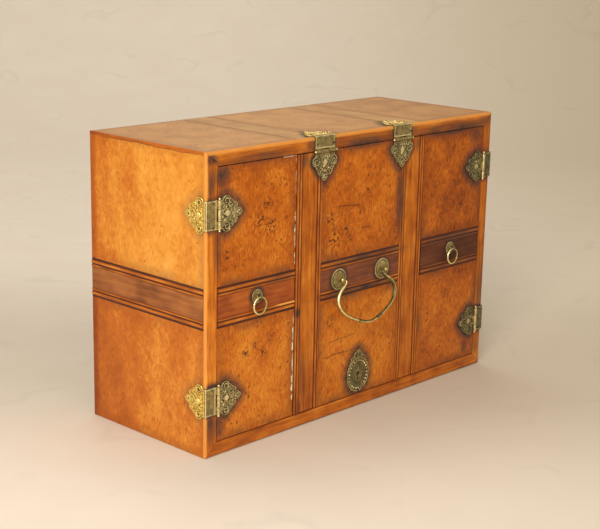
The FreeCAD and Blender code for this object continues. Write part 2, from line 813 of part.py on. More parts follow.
top_range = (top_board_face, case_top)
band_cells = []
for side in (-1, 1):
    for near, far in ((panel_half, panel_half + top_line), (flap_half - top_line, flap_half)):
        word = f"top_line_{len(case_lines)}"
        line = box(f"{word}_blank", across(side, near, far), (lipping_back, rear), top_range)
        shaped = common(f"{word}_shaped", line, envelope)
        case_lines.append(cut(word, shaped, corner_nail_sets["flap"]))
    band_cells.append(across(side, panel_half + top_line, flap_half - top_line))
top_cells = [(-side_outer, -flap_half), (-panel_half, panel_half), (flap_half, side_outer)]
for label, cells in {"top_burr_panels": top_cells, "top_cross_bands": band_cells}.items():
    pieces = []
    for number, cell in enumerate(cells):
        blank = box(f"{label}_blank{number}", cell, (lipping_back, rear), top_range)
        shaped = common(f"{label}_shaped{number}", blank, envelope)
        pieces.append(cut(f"{label}_{number}", shaped, corner_nail_sets["flap"]))
    node(label, group(label, pieces))
node("case_dark_lines", group("case_dark_lines", case_lines))
node("case_nails", group("case_nails", list(corner_nail_sets.values()) + [strike_nails]))

# Doors
front_range = (front, board_face)
lower_range = (leaf_low, waist_level - waist_reach)
upper_range = (waist_level + waist_reach, leaf_high)
band_range = (waist_level - band_width / 2, waist_level + band_width / 2)
eye_front = front - eye_stand
ring_pivot_level = ring_level - (eye_radius - eye_wire - ring_wire - hang_gap)


def cotter_legs(name, x, level, radius, upright):
    """Two flat ends of a split shank, bent out against the back of a door."""
    y_range = (door_back, door_back + leg_thick)
    run = (-leg_length, leg_length)
    if upright:
        return box(name, (x - radius, x + radius), y_range, (level + run[0], level + run[1]))
    return box(name, (x + run[0], x + run[1]), y_range, (level - radius, level + radius))


def domed_plate(name, bore, radius, rim, dome, spot):
    """A round plate with a low dome, pierced for a shank and set on the front."""
    height = dome - rim
    curve = (radius * radius + height * height) / (2 * height)
    inner = dome - curve + root(curve * curve - bore * bore)
    profile = [(bore, zero), (radius, zero), (radius, rim), (bore, inner)]
    return place(turned(name, profile, {2: curve}), *spot, TOWARDS_FRONT)


def front_beads(x_range):
    """Makes horizontal beads over one X range of the front."""
    return lambda name, z_range: front_bead(name, x_range, z_range)


def front_lines(x_range):
    """Makes horizontal dark lines over one X range of the front."""
    return lambda name, z_range: box(name, x_range, front_range, z_range)


for side, word in ((-1, "left"), (1, "right")):
    x_range = across(side, door_inner, door_outer)
    ring_x = door_middle * side
    shank_start = (ring_x, eye_front + eye_radius, ring_level)
    shank_length = door_thick + eye_stand - eye_radius
    shank = cylinder(f"{word}_eye_shank", eye_shank, shank_length, shank_start, TOWARDS_BACK)
    eye = fuse(f"{word}_eye", [
        torus(f"{word}_eye_loop", eye_radius, eye_wire, (ring_x, eye_front, ring_level), TOWARDS_RIGHT),
        shank,
        cotter_legs(f"{word}_eye_legs", ring_x, ring_level, eye_shank, True),
    ])
    ring_spot = (ring_x, front, ring_level)
    ring_plate = domed_plate(f"{word}_ring_plate", eye_shank, ring_plate_radius, ring_plate_rim,
                             ring_plate_dome, ring_spot)
    node(f"{word}_ring_eye", group(f"{word}_ring_eye", [eye, ring_plate]))
    ring_centre = (ring_x, eye_front, ring_pivot_level - ring_radius)
    node(f"{word}_pull_ring", torus(f"{word}_pull_ring", ring_radius, ring_wire, ring_centre, TOWARDS_FRONT))
    nails = leaf_nail_sets[word]
    board = box(f"{word}_door_blank", x_range, (board_face, door_back), (leaf_low, leaf_high))
    node(f"{word}_door_board", cut(f"{word}_door_board", board, shank, nails))
    panels = []
    for level, z_range in (("lower", lower_range), ("upper", upper_range)):
        panel = box(f"{word}_door_{level}_blank", x_range, front_range, z_range)
        panels.append(cut(f"{word}_door_{level}_panel", panel, nails))
    node(f"{word}_door_burr_panels", group(f"{word}_door_burr_panels", panels))
    band = box(f"{word}_door_band_blank", x_range, front_range, band_range)
    node(f"{word}_door_waist_band", cut(f"{word}_door_waist_band", band, shank))
    strips = waist_strips(f"{word}_door", front_beads(x_range), front_lines(x_range))
    node(f"{word}_door_beads", group(f"{word}_door_beads", strips["bead"]))
    node(f"{word}_door_dark_lines", group(f"{word}_door_dark_lines", strips["line"]))
    node(f"{word}_door_nails", nails)

# Flap: keyhole, handle and lock first, because the boards are pierced for them
key_start = front - escutcheon_thick - lock_lift
key_run = lock_back - key_start
keyhole = fuse("keyhole", [
    cylinder("keyhole_round", key_radius, key_run, (zero, key_start, key_level), TOWARDS_BACK),
    box("keyhole_slot", (-key_slot_width / 2, key_slot_width / 2), (key_start, lock_back),
        (key_level - key_slot_drop, key_level)),
])
post_x = handle_spacing / 2
post_head_low = bail_stand - root(post_head * post_head - post_radius * post_radius)
post_profile = [(zero, -door_thick), (post_radius, -door_thick), (post_radius, post_head_low),
                (zero, bail_stand + post_head)]
bail_hole = cylinder("bail_hole", bail_radius + running_clearance, handle_spacing + 4 * post_head,
                     (-post_x - 2 * post_head, front - bail_stand, handle_level), TOWARDS_RIGHT)
rosettes = []
posts = []
shanks = []
for side, word in ((-1, "left"), (1, "right")):
    spot = (post_x * side, front, handle_level)
    rosettes.append(domed_plate(f"{word}_rosette", post_radius, rosette_radius, rosette_rim,
                                rosette_dome, spot))
    stem = place(turned(f"{word}_post_stem", post_profile, {2: post_head}), *spot, TOWARDS_FRONT)
    legs = cotter_legs(f"{word}_post_legs", post_x * side, handle_level, post_radius, False)
    posts.append(cut(f"{word}_post", fuse(f"{word}_post_whole", [stem, legs]), bail_hole))
    shanks.append(cylinder(f"{word}_post_shank", post_radius, door_thick, spot, TOWARDS_BACK))
post_shanks = group("post_shanks", shanks)
rosette_set = node("handle_rosettes", group("handle_rosettes", rosettes))
node("handle_posts", group("handle_posts", posts))

# Bail: pins through the posts, swan necks, round shoulders and a shallow bottom
def tangent_points(before, corner, after, radius):
    """The two points where an arc of that radius meets the runs on both sides of a corner."""
    runs = []
    for end in (before, after):
        run_x = end[0] - corner[0]
        run_y = end[1] - corner[1]
        length = root(run_x * run_x + run_y * run_y)
        runs.append((run_x / length, run_y / length))
    cosine = runs[0][0] * runs[1][0] + runs[0][1] * runs[1][1]
    reach = radius * root((1 + cosine) / (1 - cosine))
    return [(corner[0] + x * reach, corner[1] + y * reach) for x, y in runs]


pin_inner = post_x - post_head
pin_outer = post_x + post_head + running_clearance
bail_corners = [
    (-pin_outer, zero),
    (bail_bend * neck_share - pin_inner, zero),
    (-(post_x + bail_flare), -bail_shoulder),
    (bail_foot_inset - post_x, -bail_drop),
    (zero, -bail_drop),
]
left_half = [bail_corners[0]]
for number, radius in enumerate((bail_bend, bail_side_radius, bail_foot_radius)):
    left_half += tangent_points(*bail_corners[number:number + 3], radius)
right_half = [(-x, y) for x, y in reversed(left_half)]
bail_arcs = {1: -bail_bend, 3: bail_side_radius, 5: bail_foot_radius,
             7: bail_foot_radius, 9: bail_side_radius, 11: -bail_bend}
bail = doc.addObject("PartDesign::Body", "bail_handle")
spine = draw(bail, "bail_spine", "XZ_Plane", left_half + right_half, bail_arcs, closed=False)
section = bail.newObject("Sketcher::SketchObject", "bail_section")
section.AttachmentSupport = (origin_plane(bail, "YZ_Plane"), [""])
section.MapMode = "FlatFace"
section.setExpression("AttachmentOffset.Base.z", (-pin_outer).formula)
section.addGeometry(Part.Circle(FreeCAD.Vector(), FreeCAD.Vector(0, 0, 1), bail_radius.value))
section.addConstraint(Sketcher.Constraint("Coincident", 0, 3, -1, 1))
section.addConstraint(Sketcher.Constraint("Radius", 0, bail_radius.value))
section.setExpression("Constraints[1]", bail_radius.formula)
doc.recompute()
bending = bail.newObject("PartDesign::AdditivePipe", "bail_bending")
bending.Profile = section
bending.Spine = (spine, [f"Edge{number}" for number in range(1, len(spine.Shape.Edges) + 1)])
place(bail, zero, front - bail_stand, handle_level)
bail.Placement.Rotation = FreeCAD.Rotation(FreeCAD.Vector(1, 0, 0), 0)
bail.setExpression("Placement.Rotation.Axis.x", "1")
bail.setExpression("Placement.Rotation.Axis.y", "0")
bail.setExpression("Placement.Rotation.Axis.z", "0")
bail.setExpression("Placement.Rotation.Angle", (-bail_lean_angle).formula)
node("bail_handle", bail)

# Escutcheon: an oval with a lobed crest
oval_radius = escutcheon_width / 2
oval_shift = escutcheon_oval - escutcheon_width
escutcheon_low = key_level - escutcheon_drop - escutcheon_oval / 2
oval_low = escutcheon_low + oval_radius
oval_high = oval_low + oval_shift
crest_level = escutcheon_low + escutcheon_oval + crest_rise - crest_radius
lobe_level = crest_level - crest_radius


def plate_disc(name, x, level, radius):
    """A disc of the escutcheon, flat on the flap."""
    return cylinder(name, radius, escutcheon_thick, (x, front, level), TOWARDS_FRONT)


escutcheon_range = (front - escutcheon_thick, front)
escutcheon_blank = fuse("escutcheon_blank", [
    plate_disc("escutcheon_low_disc", zero, oval_low, oval_radius),
    plate_disc("escutcheon_high_disc", zero, oval_high, oval_radius),
    box("escutcheon_middle", (-oval_radius, oval_radius), escutcheon_range, (oval_low, oval_high)),
    plate_disc("crest_top", zero, crest_level, crest_radius),
    plate_disc("crest_left", -crest_lobe_place, lobe_level, crest_lobe_radius),
    plate_disc("crest_right", crest_lobe_place, lobe_level, crest_lobe_radius),
])
escutcheon_face = front - escutcheon_thick
escutcheon_nails = group("escutcheon_nails", [
    nail("escutcheon_nail_top", zero, escutcheon_face, crest_level, TOWARDS_FRONT),
    nail("escutcheon_nail_low", zero, escutcheon_face, escutcheon_low + escutcheon_pin_inset, TOWARDS_FRONT),
])
node("escutcheon", cut("escutcheon", escutcheon_blank, keyhole, escutcheon_nails))

# Lock: plate, cap with its key pin, spring and bolt
spring_x = (bolt_x[1] + bolt_clearance, bolt_x[1] + bolt_clearance + spring_thick)
bolt_top = lock_low + bolt_length
cap_half = spring_x[1] + cap_room + cap_wall
cap_high = bolt_top + cap_room + cap_wall
cap_back = lock_back + cap_depth
lock_half = cap_half + lock_margin
lock_high = cap_high + lock_margin
lock_nail_x = cap_half + lock_margin / 2
lock_nails = group("lock_nails", [
    nail(f"lock_nail_{number}", x, lock_back, z, TOWARDS_BACK)
    for number, (x, z) in enumerate((x, z) for x in (-lock_nail_x, lock_nail_x)
                                    for z in (lock_low + lock_margin, cap_high))])
groove_half = guide_radius + bolt_clearance
guide_place = bolt_x[1] - guide_wall - groove_half
guide_level = bolt_top - guide_wall - groove_half - bolt_throw
stud = cylinder("guide_stud", guide_radius, bolt_y[1] - lock_back, (guide_place, lock_back, guide_level),
                TOWARDS_BACK)
plate_blank = box("lock_plate_blank", (-lock_half, lock_half), (door_back, lock_back), (lock_low, lock_high))
node("lock_plate", fuse("lock_plate", [cut("lock_plate_pierced", plate_blank, keyhole, lock_nails), stud]))
cap_outer = box("cap_outer", (-cap_half, cap_half), (lock_back, cap_back), (lock_low, cap_high))
cap_inner = box("cap_inner", (cap_wall - cap_half, cap_half - cap_wall), (lock_back, cap_back - cap_wall),
                (lock_low + cap_wall, cap_high - cap_wall))
cap_slot = box("cap_slot", slot_x, slot_y, (lock_low, lock_low + cap_wall))
cap_shell = cut("cap_shell", cap_outer, cap_inner, cap_slot)
key_pin = cylinder("key_pin", key_pin_radius, cap_depth - cap_wall + door_thick / 2,
                   (zero, cap_back - cap_wall, key_level), TOWARDS_FRONT)
node("lock_cap", fuse("lock_cap", [cap_shell, key_pin]))
bolt_blank = box("bolt_blank", bolt_x, bolt_y, (lock_low, bolt_top))
talon_low = key_level - bolt_throw
talon = box("bolt_talon", (bolt_x[0], bolt_x[0] + talon_depth), bolt_y, (talon_low, talon_low + talon_height))
guide_ends = {"low": guide_level, "high": guide_level + bolt_throw}
groove_run = box("bolt_groove_run", (guide_place - groove_half, guide_place + groove_half), bolt_y,
                 tuple(guide_ends.values()))
bolt_groove = fuse("bolt_groove", [groove_run] + [
    cylinder(f"bolt_groove_{level}", groove_half, bolt_thick, (guide_place, bolt_y[0], z), TOWARDS_BACK)
    for level, z in guide_ends.items()])
node("lock_bolt", cut("lock_bolt", bolt_blank, talon, bolt_groove))
node("lock_spring", box("lock_spring", spring_x, bolt_y, (lock_low + cap_wall, bolt_top)))

# Flap board and its facing
flap_nails = group("flap_nails", [leaf_nail_sets["flap"], escutcheon_nails, lock_nails])
node("flap_nails", flap_nails)
flap_blank = box("flap_blank", (-flap_half, flap_half), (board_face, door_back), (leaf_low, leaf_high))
node("flap_board", cut("flap_board", flap_blank, keyhole, post_shanks, leaf_nail_sets["flap"],
                       escutcheon_nails, lock_nails))
panel_range = (-panel_half, panel_half)
lower_panel = cut("flap_lower_panel", box("flap_lower_blank", panel_range, front_range, lower_range),
                  keyhole, escutcheon_nails)
upper_panel = cut("flap_upper_panel", box("flap_upper_blank", panel_range, front_range, upper_range),
                  leaf_nail_sets["flap"])
node("flap_burr_panels", group("flap_burr_panels", [lower_panel, upper_panel]))
flap_band = box("flap_band_blank", panel_range, front_range, band_range)
node("flap_waist_band", cut("flap_waist_band", flap_band, post_shanks))
strips = waist_strips("flap", front_beads(panel_range), front_lines(panel_range))
flap_beads = strips["bead"]
flap_lines = strips["line"]
edging = 2 * stile_bead + 2 * stile_line
stiles = []
bead_top = leaf_high - knuckle_clear
for side, word in ((-1, "left"), (1, "right")):
    x_range = across(side, panel_half + edging, flap_half - edging)
    blank = box(f"{word}_stile_blank", x_range, front_range, (leaf_low, leaf_high))
    stiles.append(cut(f"{word}_stile", blank, leaf_nail_sets["flap"]))
    for zone, start, step in (("inner", panel_half, 1), ("outer", flap_half, -1)):
        high = bead_top if zone == "inner" else leaf_high
        at = start
        for number, (kind, width) in enumerate((("bead", stile_bead), ("line", stile_line)) * 2):
            following = at + width * step
            near, far = (at, following) if step > 0 else (following, at)
            x_range = across(side, near, far)
            name = f"{word}_stile_{zone}_{kind}{number}"
            if kind == "bead":
                flap_beads.append(stile_edge(name, x_range, (leaf_low, high)))
            else:
                line = box(f"{name}_blank", x_range, front_range, (leaf_low, leaf_high))
                flap_lines.append(cut(name, line, leaf_nail_sets["flap"]))
            at = following
node("flap_stiles", group("flap_stiles", stiles))
bead_set = group("flap_bead_set", flap_beads)
node("flap_beads", cut("flap_beads", bead_set, leaf_sets["flap"], rosette_set, leaf_nail_sets["flap"]))
node("flap_dark_lines", group("flap_dark_lines", flap_lines))

doc.recompute()
failed = [item.Name for item in doc.Objects if {"Invalid", "Error"} & set(item.State)]
if failed:
    raise RuntimeError(f"failed objects: {failed}")
for item in nodes:
    if item.Shape.isNull() or not item.Shape.isValid():
        raise RuntimeError(f"bad shape: {item.Label}")
os.makedirs("parts", exist_ok=True)
for item in nodes:
    item.Shape.exportStep(f"parts/{item.Label}.step")
    print(f"{item.Label}: {len(item.Shape.Solids)} solids, {item.Shape.Volume:.1f} mm3")
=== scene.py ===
"""Dresses the table box: its veneers and mouldings, its cast brassware, and the studio round it.

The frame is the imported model's: metres, the front face towards -Y, +Z up. Sizes of pieces are in
millimetres, and turn to metres where a mesh is made.
"""

import bmesh
import bpy
import logging
import math
from collections.abc import Callable, Sequence
from dataclasses import dataclass, field, replace
from enum import Enum
from functools import partial
from mathutils import Matrix, Vector, noise


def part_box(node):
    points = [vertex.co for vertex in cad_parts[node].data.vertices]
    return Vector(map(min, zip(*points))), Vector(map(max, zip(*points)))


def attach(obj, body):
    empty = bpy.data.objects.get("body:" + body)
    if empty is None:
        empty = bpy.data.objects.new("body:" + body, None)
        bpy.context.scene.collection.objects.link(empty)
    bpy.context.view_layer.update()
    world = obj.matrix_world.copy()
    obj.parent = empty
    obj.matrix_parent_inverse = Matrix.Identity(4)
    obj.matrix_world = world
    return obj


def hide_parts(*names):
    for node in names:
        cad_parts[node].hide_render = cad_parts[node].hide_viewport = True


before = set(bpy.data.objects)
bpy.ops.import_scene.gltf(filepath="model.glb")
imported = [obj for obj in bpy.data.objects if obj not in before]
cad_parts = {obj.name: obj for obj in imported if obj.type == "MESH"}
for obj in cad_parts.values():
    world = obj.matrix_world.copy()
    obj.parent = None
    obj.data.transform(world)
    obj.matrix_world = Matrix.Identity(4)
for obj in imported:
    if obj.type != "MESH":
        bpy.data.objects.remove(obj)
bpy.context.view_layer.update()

LOG = logging.getLogger("table_box")
MM = 0.001
# Distance that counts as far away, and radius that counts as a point, in mm
FAR, POINTED = 99.0, 0.02
SHARP_ANGLE = math.radians(38)
# What a sheet's points tell its finish, beside the grain
SURFACE = ("edge", "stain", "dirt", "wear")
HALVES = (0.5, 0.5, 0.5)
Tree = bpy.types.NodeTree
Socket = bpy.types.NodeSocket
Put = Callable[..., Socket]
Pair = tuple[float, float]
Triple = tuple[float, float, float]
Quad = tuple[float, float, float, float]


def linear(colour: str) -> Quad:
    """Turns an sRGB hex colour to linear light.

    Args:
        colour: Six hex digits after a hash.

    Returns:
        Red, green and blue from 0 to 1, and an alpha of 1.
    """
    shares = [int(colour[i:i + 2], 16) / 255 for i in (1, 3, 5)]
    red, green, blue = (s / 12.92 if s <= 0.04045 else ((s + 0.055) / 1.055) ** 2.4 for s in shares)
    return red, green, blue, 1.0


def add(tree: Tree, kind: str, inputs: dict | Sequence = (), out: int | str = 0,
        stops: Sequence[tuple[float, str]] = (), **settings: object) -> Socket | None:
    """Adds a node with its settings and links.

    Args:
        tree: The material's or world's node tree.
        kind: The node's type name, without its prefix.
        inputs: Values or sockets, in order, or by the input's name or number.
        out: Name or number of the output to return.
        stops: Places and sRGB colours, where the node is a colour ramp.
        **settings: Properties to set on it.

    Returns:
        The chosen output, or None for a node without outputs.
    """
    node = tree.nodes.new(f"ShaderNode{kind}")
    for name, value in settings.items():
        setattr(node, name, value)
    for key, value in inputs.items() if isinstance(inputs, dict) else enumerate(inputs):
        if isinstance(value, Socket):
            tree.links.new(value, node.inputs[key])
        else:
            node.inputs[key].default_value = value
    for number, (place, colour) in enumerate(stops):
        ramp = node.color_ramp.elements
        stop = ramp[number] if number < 2 else ramp.new(place)
        stop.position = place
        stop.color = linear(colour)
    return node.outputs[out] if node.outputs else None


def clamp(value: float) -> float:
    """Keeps a value from 0 to 1."""
    return min(1.0, max(0.0, value))


def rise(start: float, end: float, value: float) -> float:
    """Rises smoothly from 0 at start to 1 at end."""
    share = clamp((value - start) / (end - start))
    return share * share * (3 - 2 * share)


def hump(share: float) -> float:
    """Rises from 0 to 1 and falls again while a share goes from 0 to 1."""
    return math.sin(math.pi * clamp(share))


def ball(away: float, radius: float) -> float:
    """Gives a half ball's height, 1 at its middle, at a distance from there."""
    return math.sqrt(clamp(1 - (away / radius) ** 2))


def turned_at(spot: Sequence[float], degrees: float, axis: str) -> Matrix:
    """Gives the place of a piece that is turned about an axis through a point."""
    return Matrix.Translation(spot) @ Matrix.Rotation(math.radians(degrees), 4, axis)


def shown(name: str, data: bpy.types.ID) -> bpy.types.Object:
    """Adds an object to the scene.

    Args:
        name: Its name.
        data: Its mesh, lamp or camera.

    Returns:
        The object.
    """
    made = bpy.data.objects.new(name, data)
    bpy.context.collection.objects.link(made)
    return made


def circle(radius: float, count: int) -> list[Vector]:
    """Gives points round a circle across the Z axis."""
    turns = (2 * math.pi * k / count for k in range(count))
    return [Vector((radius * math.cos(t), radius * math.sin(t), 0.0)) for t in turns]


class Face(Enum):
    """A face of the case: the direction along it, the direction up it, and the one out of it."""

    FRONT = ((1, 0, 0), (0, 0, 1), (0, -1, 0))
    LEFT = ((0, -1, 0), (0, 0, 1), (-1, 0, 0))
    RIGHT = ((0, 1, 0), (0, 0, 1), (1, 0, 0))
    TOP = ((1, 0, 0), (0, 1, 0), (0, 0, 1))

    def place(self, along: float, up: float, out: float) -> Vector:
        """Gives the point in the frame at a place on the face, in mm."""
        axes = [Vector(axis) for axis in self.value]
        return axes[0] * along + axes[1] * up + axes[2] * out

    def flat(self, point: Vector) -> Triple:
        """Gives a point's place along, up and out of the face, in mm."""
        along, up, out = (point.dot(Vector(axis)) for axis in self.value)
        return along, up, out


class Grain(Enum):
    """Which way a sheet's grain runs on its face."""

    UP = "up"
    LENGTHWISE = "lengthwise"


@dataclass(frozen=True)
class Mark:
    """What a point of a mesh tells its finish.

    Attributes:
        grain: Place along the grain and across it in mm, and the sheet's number.
        edge: Distance to the edge of the sheet in mm.
        stain: Distance to the nearest brass in mm.
        relief: 0 in the ground of a casting, 1 on its ridges; on wires, knuckles and hinge plates it also
            carries painted highlight and painted shade.
        wear: Share of the finish that is worn away, and of painted highlight on lit edges, beads and brass.
        dirt: Share of old dirt in the polish, and of painted shade down the front's right arris.
    """

    grain: Triple = (0.0, 0.0, 0.0)
    edge: float = FAR
    stain: float = FAR
    relief: float = 1.0
    wear: float = 0.0
    dirt: float = 0.0


Spot = tuple[Vector, Mark]


def solids(node: str) -> list[tuple[Vector, Vector]]:
    """Finds the box of each separate solid in a CAD node.

    Args:
        node: The node's name.

    Returns:
        Lowest and highest corners in mm, in a fixed order.
    """
    mesh = bmesh.new()
    mesh.from_mesh(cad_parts[node].data)
    bmesh.ops.remove_doubles(mesh, verts=mesh.verts, dist=1e-7)
    left = set(mesh.verts)
    boxes = []
    for start in list(mesh.verts):
        if start not in left:
            continue
        left.remove(start)
        stack, found = [start], []
        while stack:
            vert = stack.pop()
            found.append(vert.co / MM)
            near = [edge.other_vert(vert) for edge in vert.link_edges]
            near = [other for other in near if other in left]
            left.difference_update(near)
            stack.extend(near)
        low, high = (Vector(end(p[i] for p in found) for i in range(3)) for end in (min, max))
        boxes.append((low, high))
    mesh.free()
    return sorted(boxes, key=lambda box: [round(c, 2) for c in (*box[0], *box[1])])


def span(node: str) -> tuple[Vector, Vector]:
    """Gives a CAD node's lowest and highest corners in mm."""
    low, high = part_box(node)
    return Vector(low) / MM, Vector(high) / MM


class Shape:
    """A mesh in the making: points in mm, what each tells its finish, and faces."""

    def __init__(self) -> None:
        """Starts with nothing."""
        self.points: list[Vector] = []
        self.marks: list[Mark] = []
        self.faces: list[list[int]] = []

    def spots(self, row: Sequence[Spot]) -> list[int]:
        """Adds a row of points.

        Args:
            row: The points with what each tells its finish.

        Returns:
            Their numbers.
        """
        start = len(self.points)
        self.points.extend(point for point, _ in row)
        self.marks.extend(mark for _, mark in row)
        return list(range(start, len(self.points)))

    def slab(self, top: Sequence[Sequence[Spot]], bottom: Sequence[Sequence[Spot]],
             kept: Callable[[int, int], bool] = lambda i, j: True) -> None:
        """Adds a closed slab between two grids of the same size.

        Args:
            top: Rows of the upper grid.
            bottom: Rows of the lower grid.
            kept: Says whether the cell at a row and column is there.
        """
        upper = [self.spots(row) for row in top]
        lower = [self.spots(row) for row in bottom]
        rows, columns = len(top) - 1, len(top[0]) - 1
        cells = {(i, j) for i in range(rows) for j in range(columns) if kept(i, j)}
        for i, j in sorted(cells):
            corners = ((i, j), (i + 1, j), (i + 1, j + 1), (i, j + 1))
            self.faces.append([upper[a][b] for a, b in corners])
            self.faces.append([lower[a][b] for a, b in reversed(corners)])
            neighbours = ((i, j - 1), (i + 1, j), (i, j + 1), (i - 1, j))
            for number, neighbour in enumerate(neighbours):
                if neighbour not in cells:
                    (a, b), (c, d) = corners[number], corners[(number + 1) % 4]
                    self.faces.append([upper[c][d], upper[a][b], lower[a][b], lower[c][d]])

    def tube(self, rings: Sequence[Sequence[Spot]], closed: bool = False) -> None:
        """Adds a skin over rings of points, with ends unless it closes on itself.

        Args:
            rings: Rings of the same number of points.
            closed: Whether the last ring joins the first.
        """
        numbers = [self.spots(ring) for ring in rings]
        pairs = list(zip(numbers, numbers[1:]))
        if closed:
            pairs.append((numbers[-1], numbers[0]))
        else:
            self.faces.extend([numbers[0][::-1], numbers[-1]])
        for one, two in pairs:
            for k in range(len(one)):
                n = (k + 1) % len(one)
                self.faces.append([one[k], one[n], two[n], two[k]])

    def turned(self, place: Matrix, profile: Sequence[Triple], sides: int = 20) -> None:
        """Adds a turned piece.

        Args:
            place: Puts the piece's own Z axis in the frame.
            profile: Radius, height along the axis and relief of each step.
            sides: Points round it.
        """
        turns = [2 * math.pi * k / sides for k in range(sides)]
        self.tube([
            [(place @ Vector((r * math.cos(t), r * math.sin(t), h)), Mark(relief=relief)) for t in turns]
            for r, h, relief in profile
        ])

    def wire(self, place: Matrix, path: Sequence[Vector], radii: Sequence[float], closed: bool = False,
             outer: int = 1, sides: int = 12, polish_and_painted_light: Sequence[float] = ()) -> None:
        """Adds a wire along a flat path, with a painted highlight on its front and its outside.

        Args:
            place: Puts the path in the frame.
            path: Points in the plane across the wire's own Z axis.
            radii: The wire's radius at each point.
            closed: Whether the path joins its own start.
            outer: 1 where the outside is to the right of the path, -1 where it is to the left.
            sides: Points round the wire.
            polish_and_painted_light: Brightness added at each point, none if not given.
        """
        rings = []
        for k, point in enumerate(path):
            before = path[k - 1] if closed or k else path[0]
            after = path[(k + 1) % len(path)] if closed or k + 1 < len(path) else path[-1]
            across = (after - before).normalized().cross(Vector((0, 0, 1)))
            ring = []
            for t in (2 * math.pi * n / sides for n in range(sides)):
                side = across * math.cos(t) + Vector((0, 0, math.sin(t)))
                # The front and outside of the wire get a painted highlight, standing in for the lamps'
                # reflection.
                painted_highlight = clamp(0.8 * math.sin(t) + 0.6 * outer * math.cos(t)) ** 2
                relief = 0.16 + 0.8 * painted_highlight + (polish_and_painted_light[k] if polish_and_painted_light else 0.0)
                ring.append((place @ (point + radii[k] * side), Mark(relief=relief)))
            rings.append(ring)
        self.tube(rings, closed)

    def piece(self, name: str, body: str, finish: "Finish", *nodes: str) -> None:
        """Makes the object, puts it on its body and dresses it.

        Args:
            name: The object's name.
            body: The body it rides on.
            finish: Its finish.
            *nodes: The CAD nodes it stands for.
        """
        mesh = bpy.data.meshes.new(name)
        mesh.from_pydata([point * MM for point in self.points], [], self.faces)
        draft = bmesh.new()
        draft.from_mesh(mesh)
        bmesh.ops.recalc_face_normals(draft, faces=draft.faces)
        draft.to_mesh(mesh)
        draft.free()
        for word in ("edge", "stain", "relief", "wear", "dirt"):
            layer = mesh.attributes.new(word, "FLOAT", "POINT")
            layer.data.foreach_set("value", [getattr(mark, word) for mark in self.marks])
        layer = mesh.attributes.new("grain", "FLOAT_VECTOR", "POINT")
        layer.data.foreach_set("vector", [c for mark in self.marks for c in mark.grain])
        mesh.materials.append(finish.material())
        mesh.shade_smooth()
        mesh.set_sharp_from_angle(angle=SHARP_ANGLE)
        made = shown(name, mesh)
        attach(made, body)
        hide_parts(*nodes)
        LOG.info("%s rides on %s for %s", name, body, ", ".join(nodes))


@dataclass(frozen=True)
class Finish:
    """A finish, which makes its material once, and a slot name for the meshes that take it, which is not
    used.
    """

    name: str
    slot: str = ""

    def paint(self, put: Put) -> dict:
        """Adds the finish's nodes and gives the shader's inputs."""
        raise NotImplementedError

    def material(self) -> bpy.types.Material:
        """Gives the finish's material.

        Returns:
            The material, made on the first call.
        """
        made = bpy.data.materials.get(self.name)
        if made is None:
            made = bpy.data.materials.new(self.name)
            made.use_nodes = True
            made.node_tree.nodes.clear()
            put = partial(add, made.node_tree)
            put("OutputMaterial", {"Surface": put("BsdfPrincipled", self.paint(put))})
        return made

    def dress(self, *nodes: str) -> None:
        """Puts the finish on CAD nodes that keep their own shape.

        Args:
            *nodes: The nodes' names.
        """
        for node in nodes:
            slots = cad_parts[node].data.materials
            slots.clear()
            slots.append(self.material())
            LOG.info("%s keeps its shape in %s", node, self.name)


@dataclass(frozen=True)
class CrackAndShadeLine:
    """A crack in a panel, also used for a line of painted shade: its ends along its axis and up, how far it
    wavers and half its width, in mm.

    Its axis is 0 for X and 1 for Y, and it tapers over a share of its length at each end.
    """

    start: Pair
    end: Pair
    waver: float = 3.0
    width: float = 1.1
    axis: int = 0
    dark: float = 0.65
    taper: float = 0.15

    def draw(self, put: Put, place: Socket, cloud: Socket) -> Socket:
        """Draws the crack.

        Args:
            put: Adds a node to the material.
            place: The place on the object in mm.
            cloud: The noise that it wavers with.

        Returns:
            How dark the crack is at the place.
        """
        along = Vector((1 - self.axis, self.axis, 0))
        start, end = (along * u + Vector((0, 0, v)) for u, v in (self.start, self.end))
        run = end - start
        beside = run.normalized().cross(Vector((self.axis, 1 - self.axis, 0)))
        away = put("VectorMath", (place, start), operation="SUBTRACT")
        share = put("VectorMath", (away, run / run.length_squared), 1, operation="DOT_PRODUCT")
        off = put("VectorMath", (away, beside), 1, operation="DOT_PRODUCT")
        sway = put("Math", (cloud, 4 * self.waver, -2 * self.waver), operation="MULTIPLY_ADD")
        off = put("Math", (off, sway), operation="ADD")
        off = put("Math", (off,), operation="ABSOLUTE")
        line = put("MapRange", (off, self.width, 0.0, 0.0, self.dark))
        inside = put("Math", (share, 0.5, 0.5), operation="COMPARE")
        ends = put("Math", (share, 0.5), operation="PINGPONG")
        ends = put("MapRange", (ends, 0.0, self.taper))
        for part in (inside, ends):
            line = put("Math", (line, part), operation="MULTIPLY")
        return line


@dataclass(frozen=True)
class Fade:
    """A slow change of tone over a face: along an axis, from one place to another in mm, and how much."""

    axis: int
    start: float
    end: float
    shift: float

    def laid(self, put: Put, place: Socket, tone: Socket) -> Socket:
        """Adds the change to a tone.

        Args:
            put: Adds a node to the material.
            place: The place on the object in mm.
            tone: The tone without it.

        Returns:
            The tone with it.
        """
        way = put("SeparateXYZ", (place,), self.axis)
        way = put("MapRange", (way, self.start, self.end, 0.0, self.shift), interpolation_type="SMOOTHSTEP")
        return put("Math", (tone, way), operation="ADD")


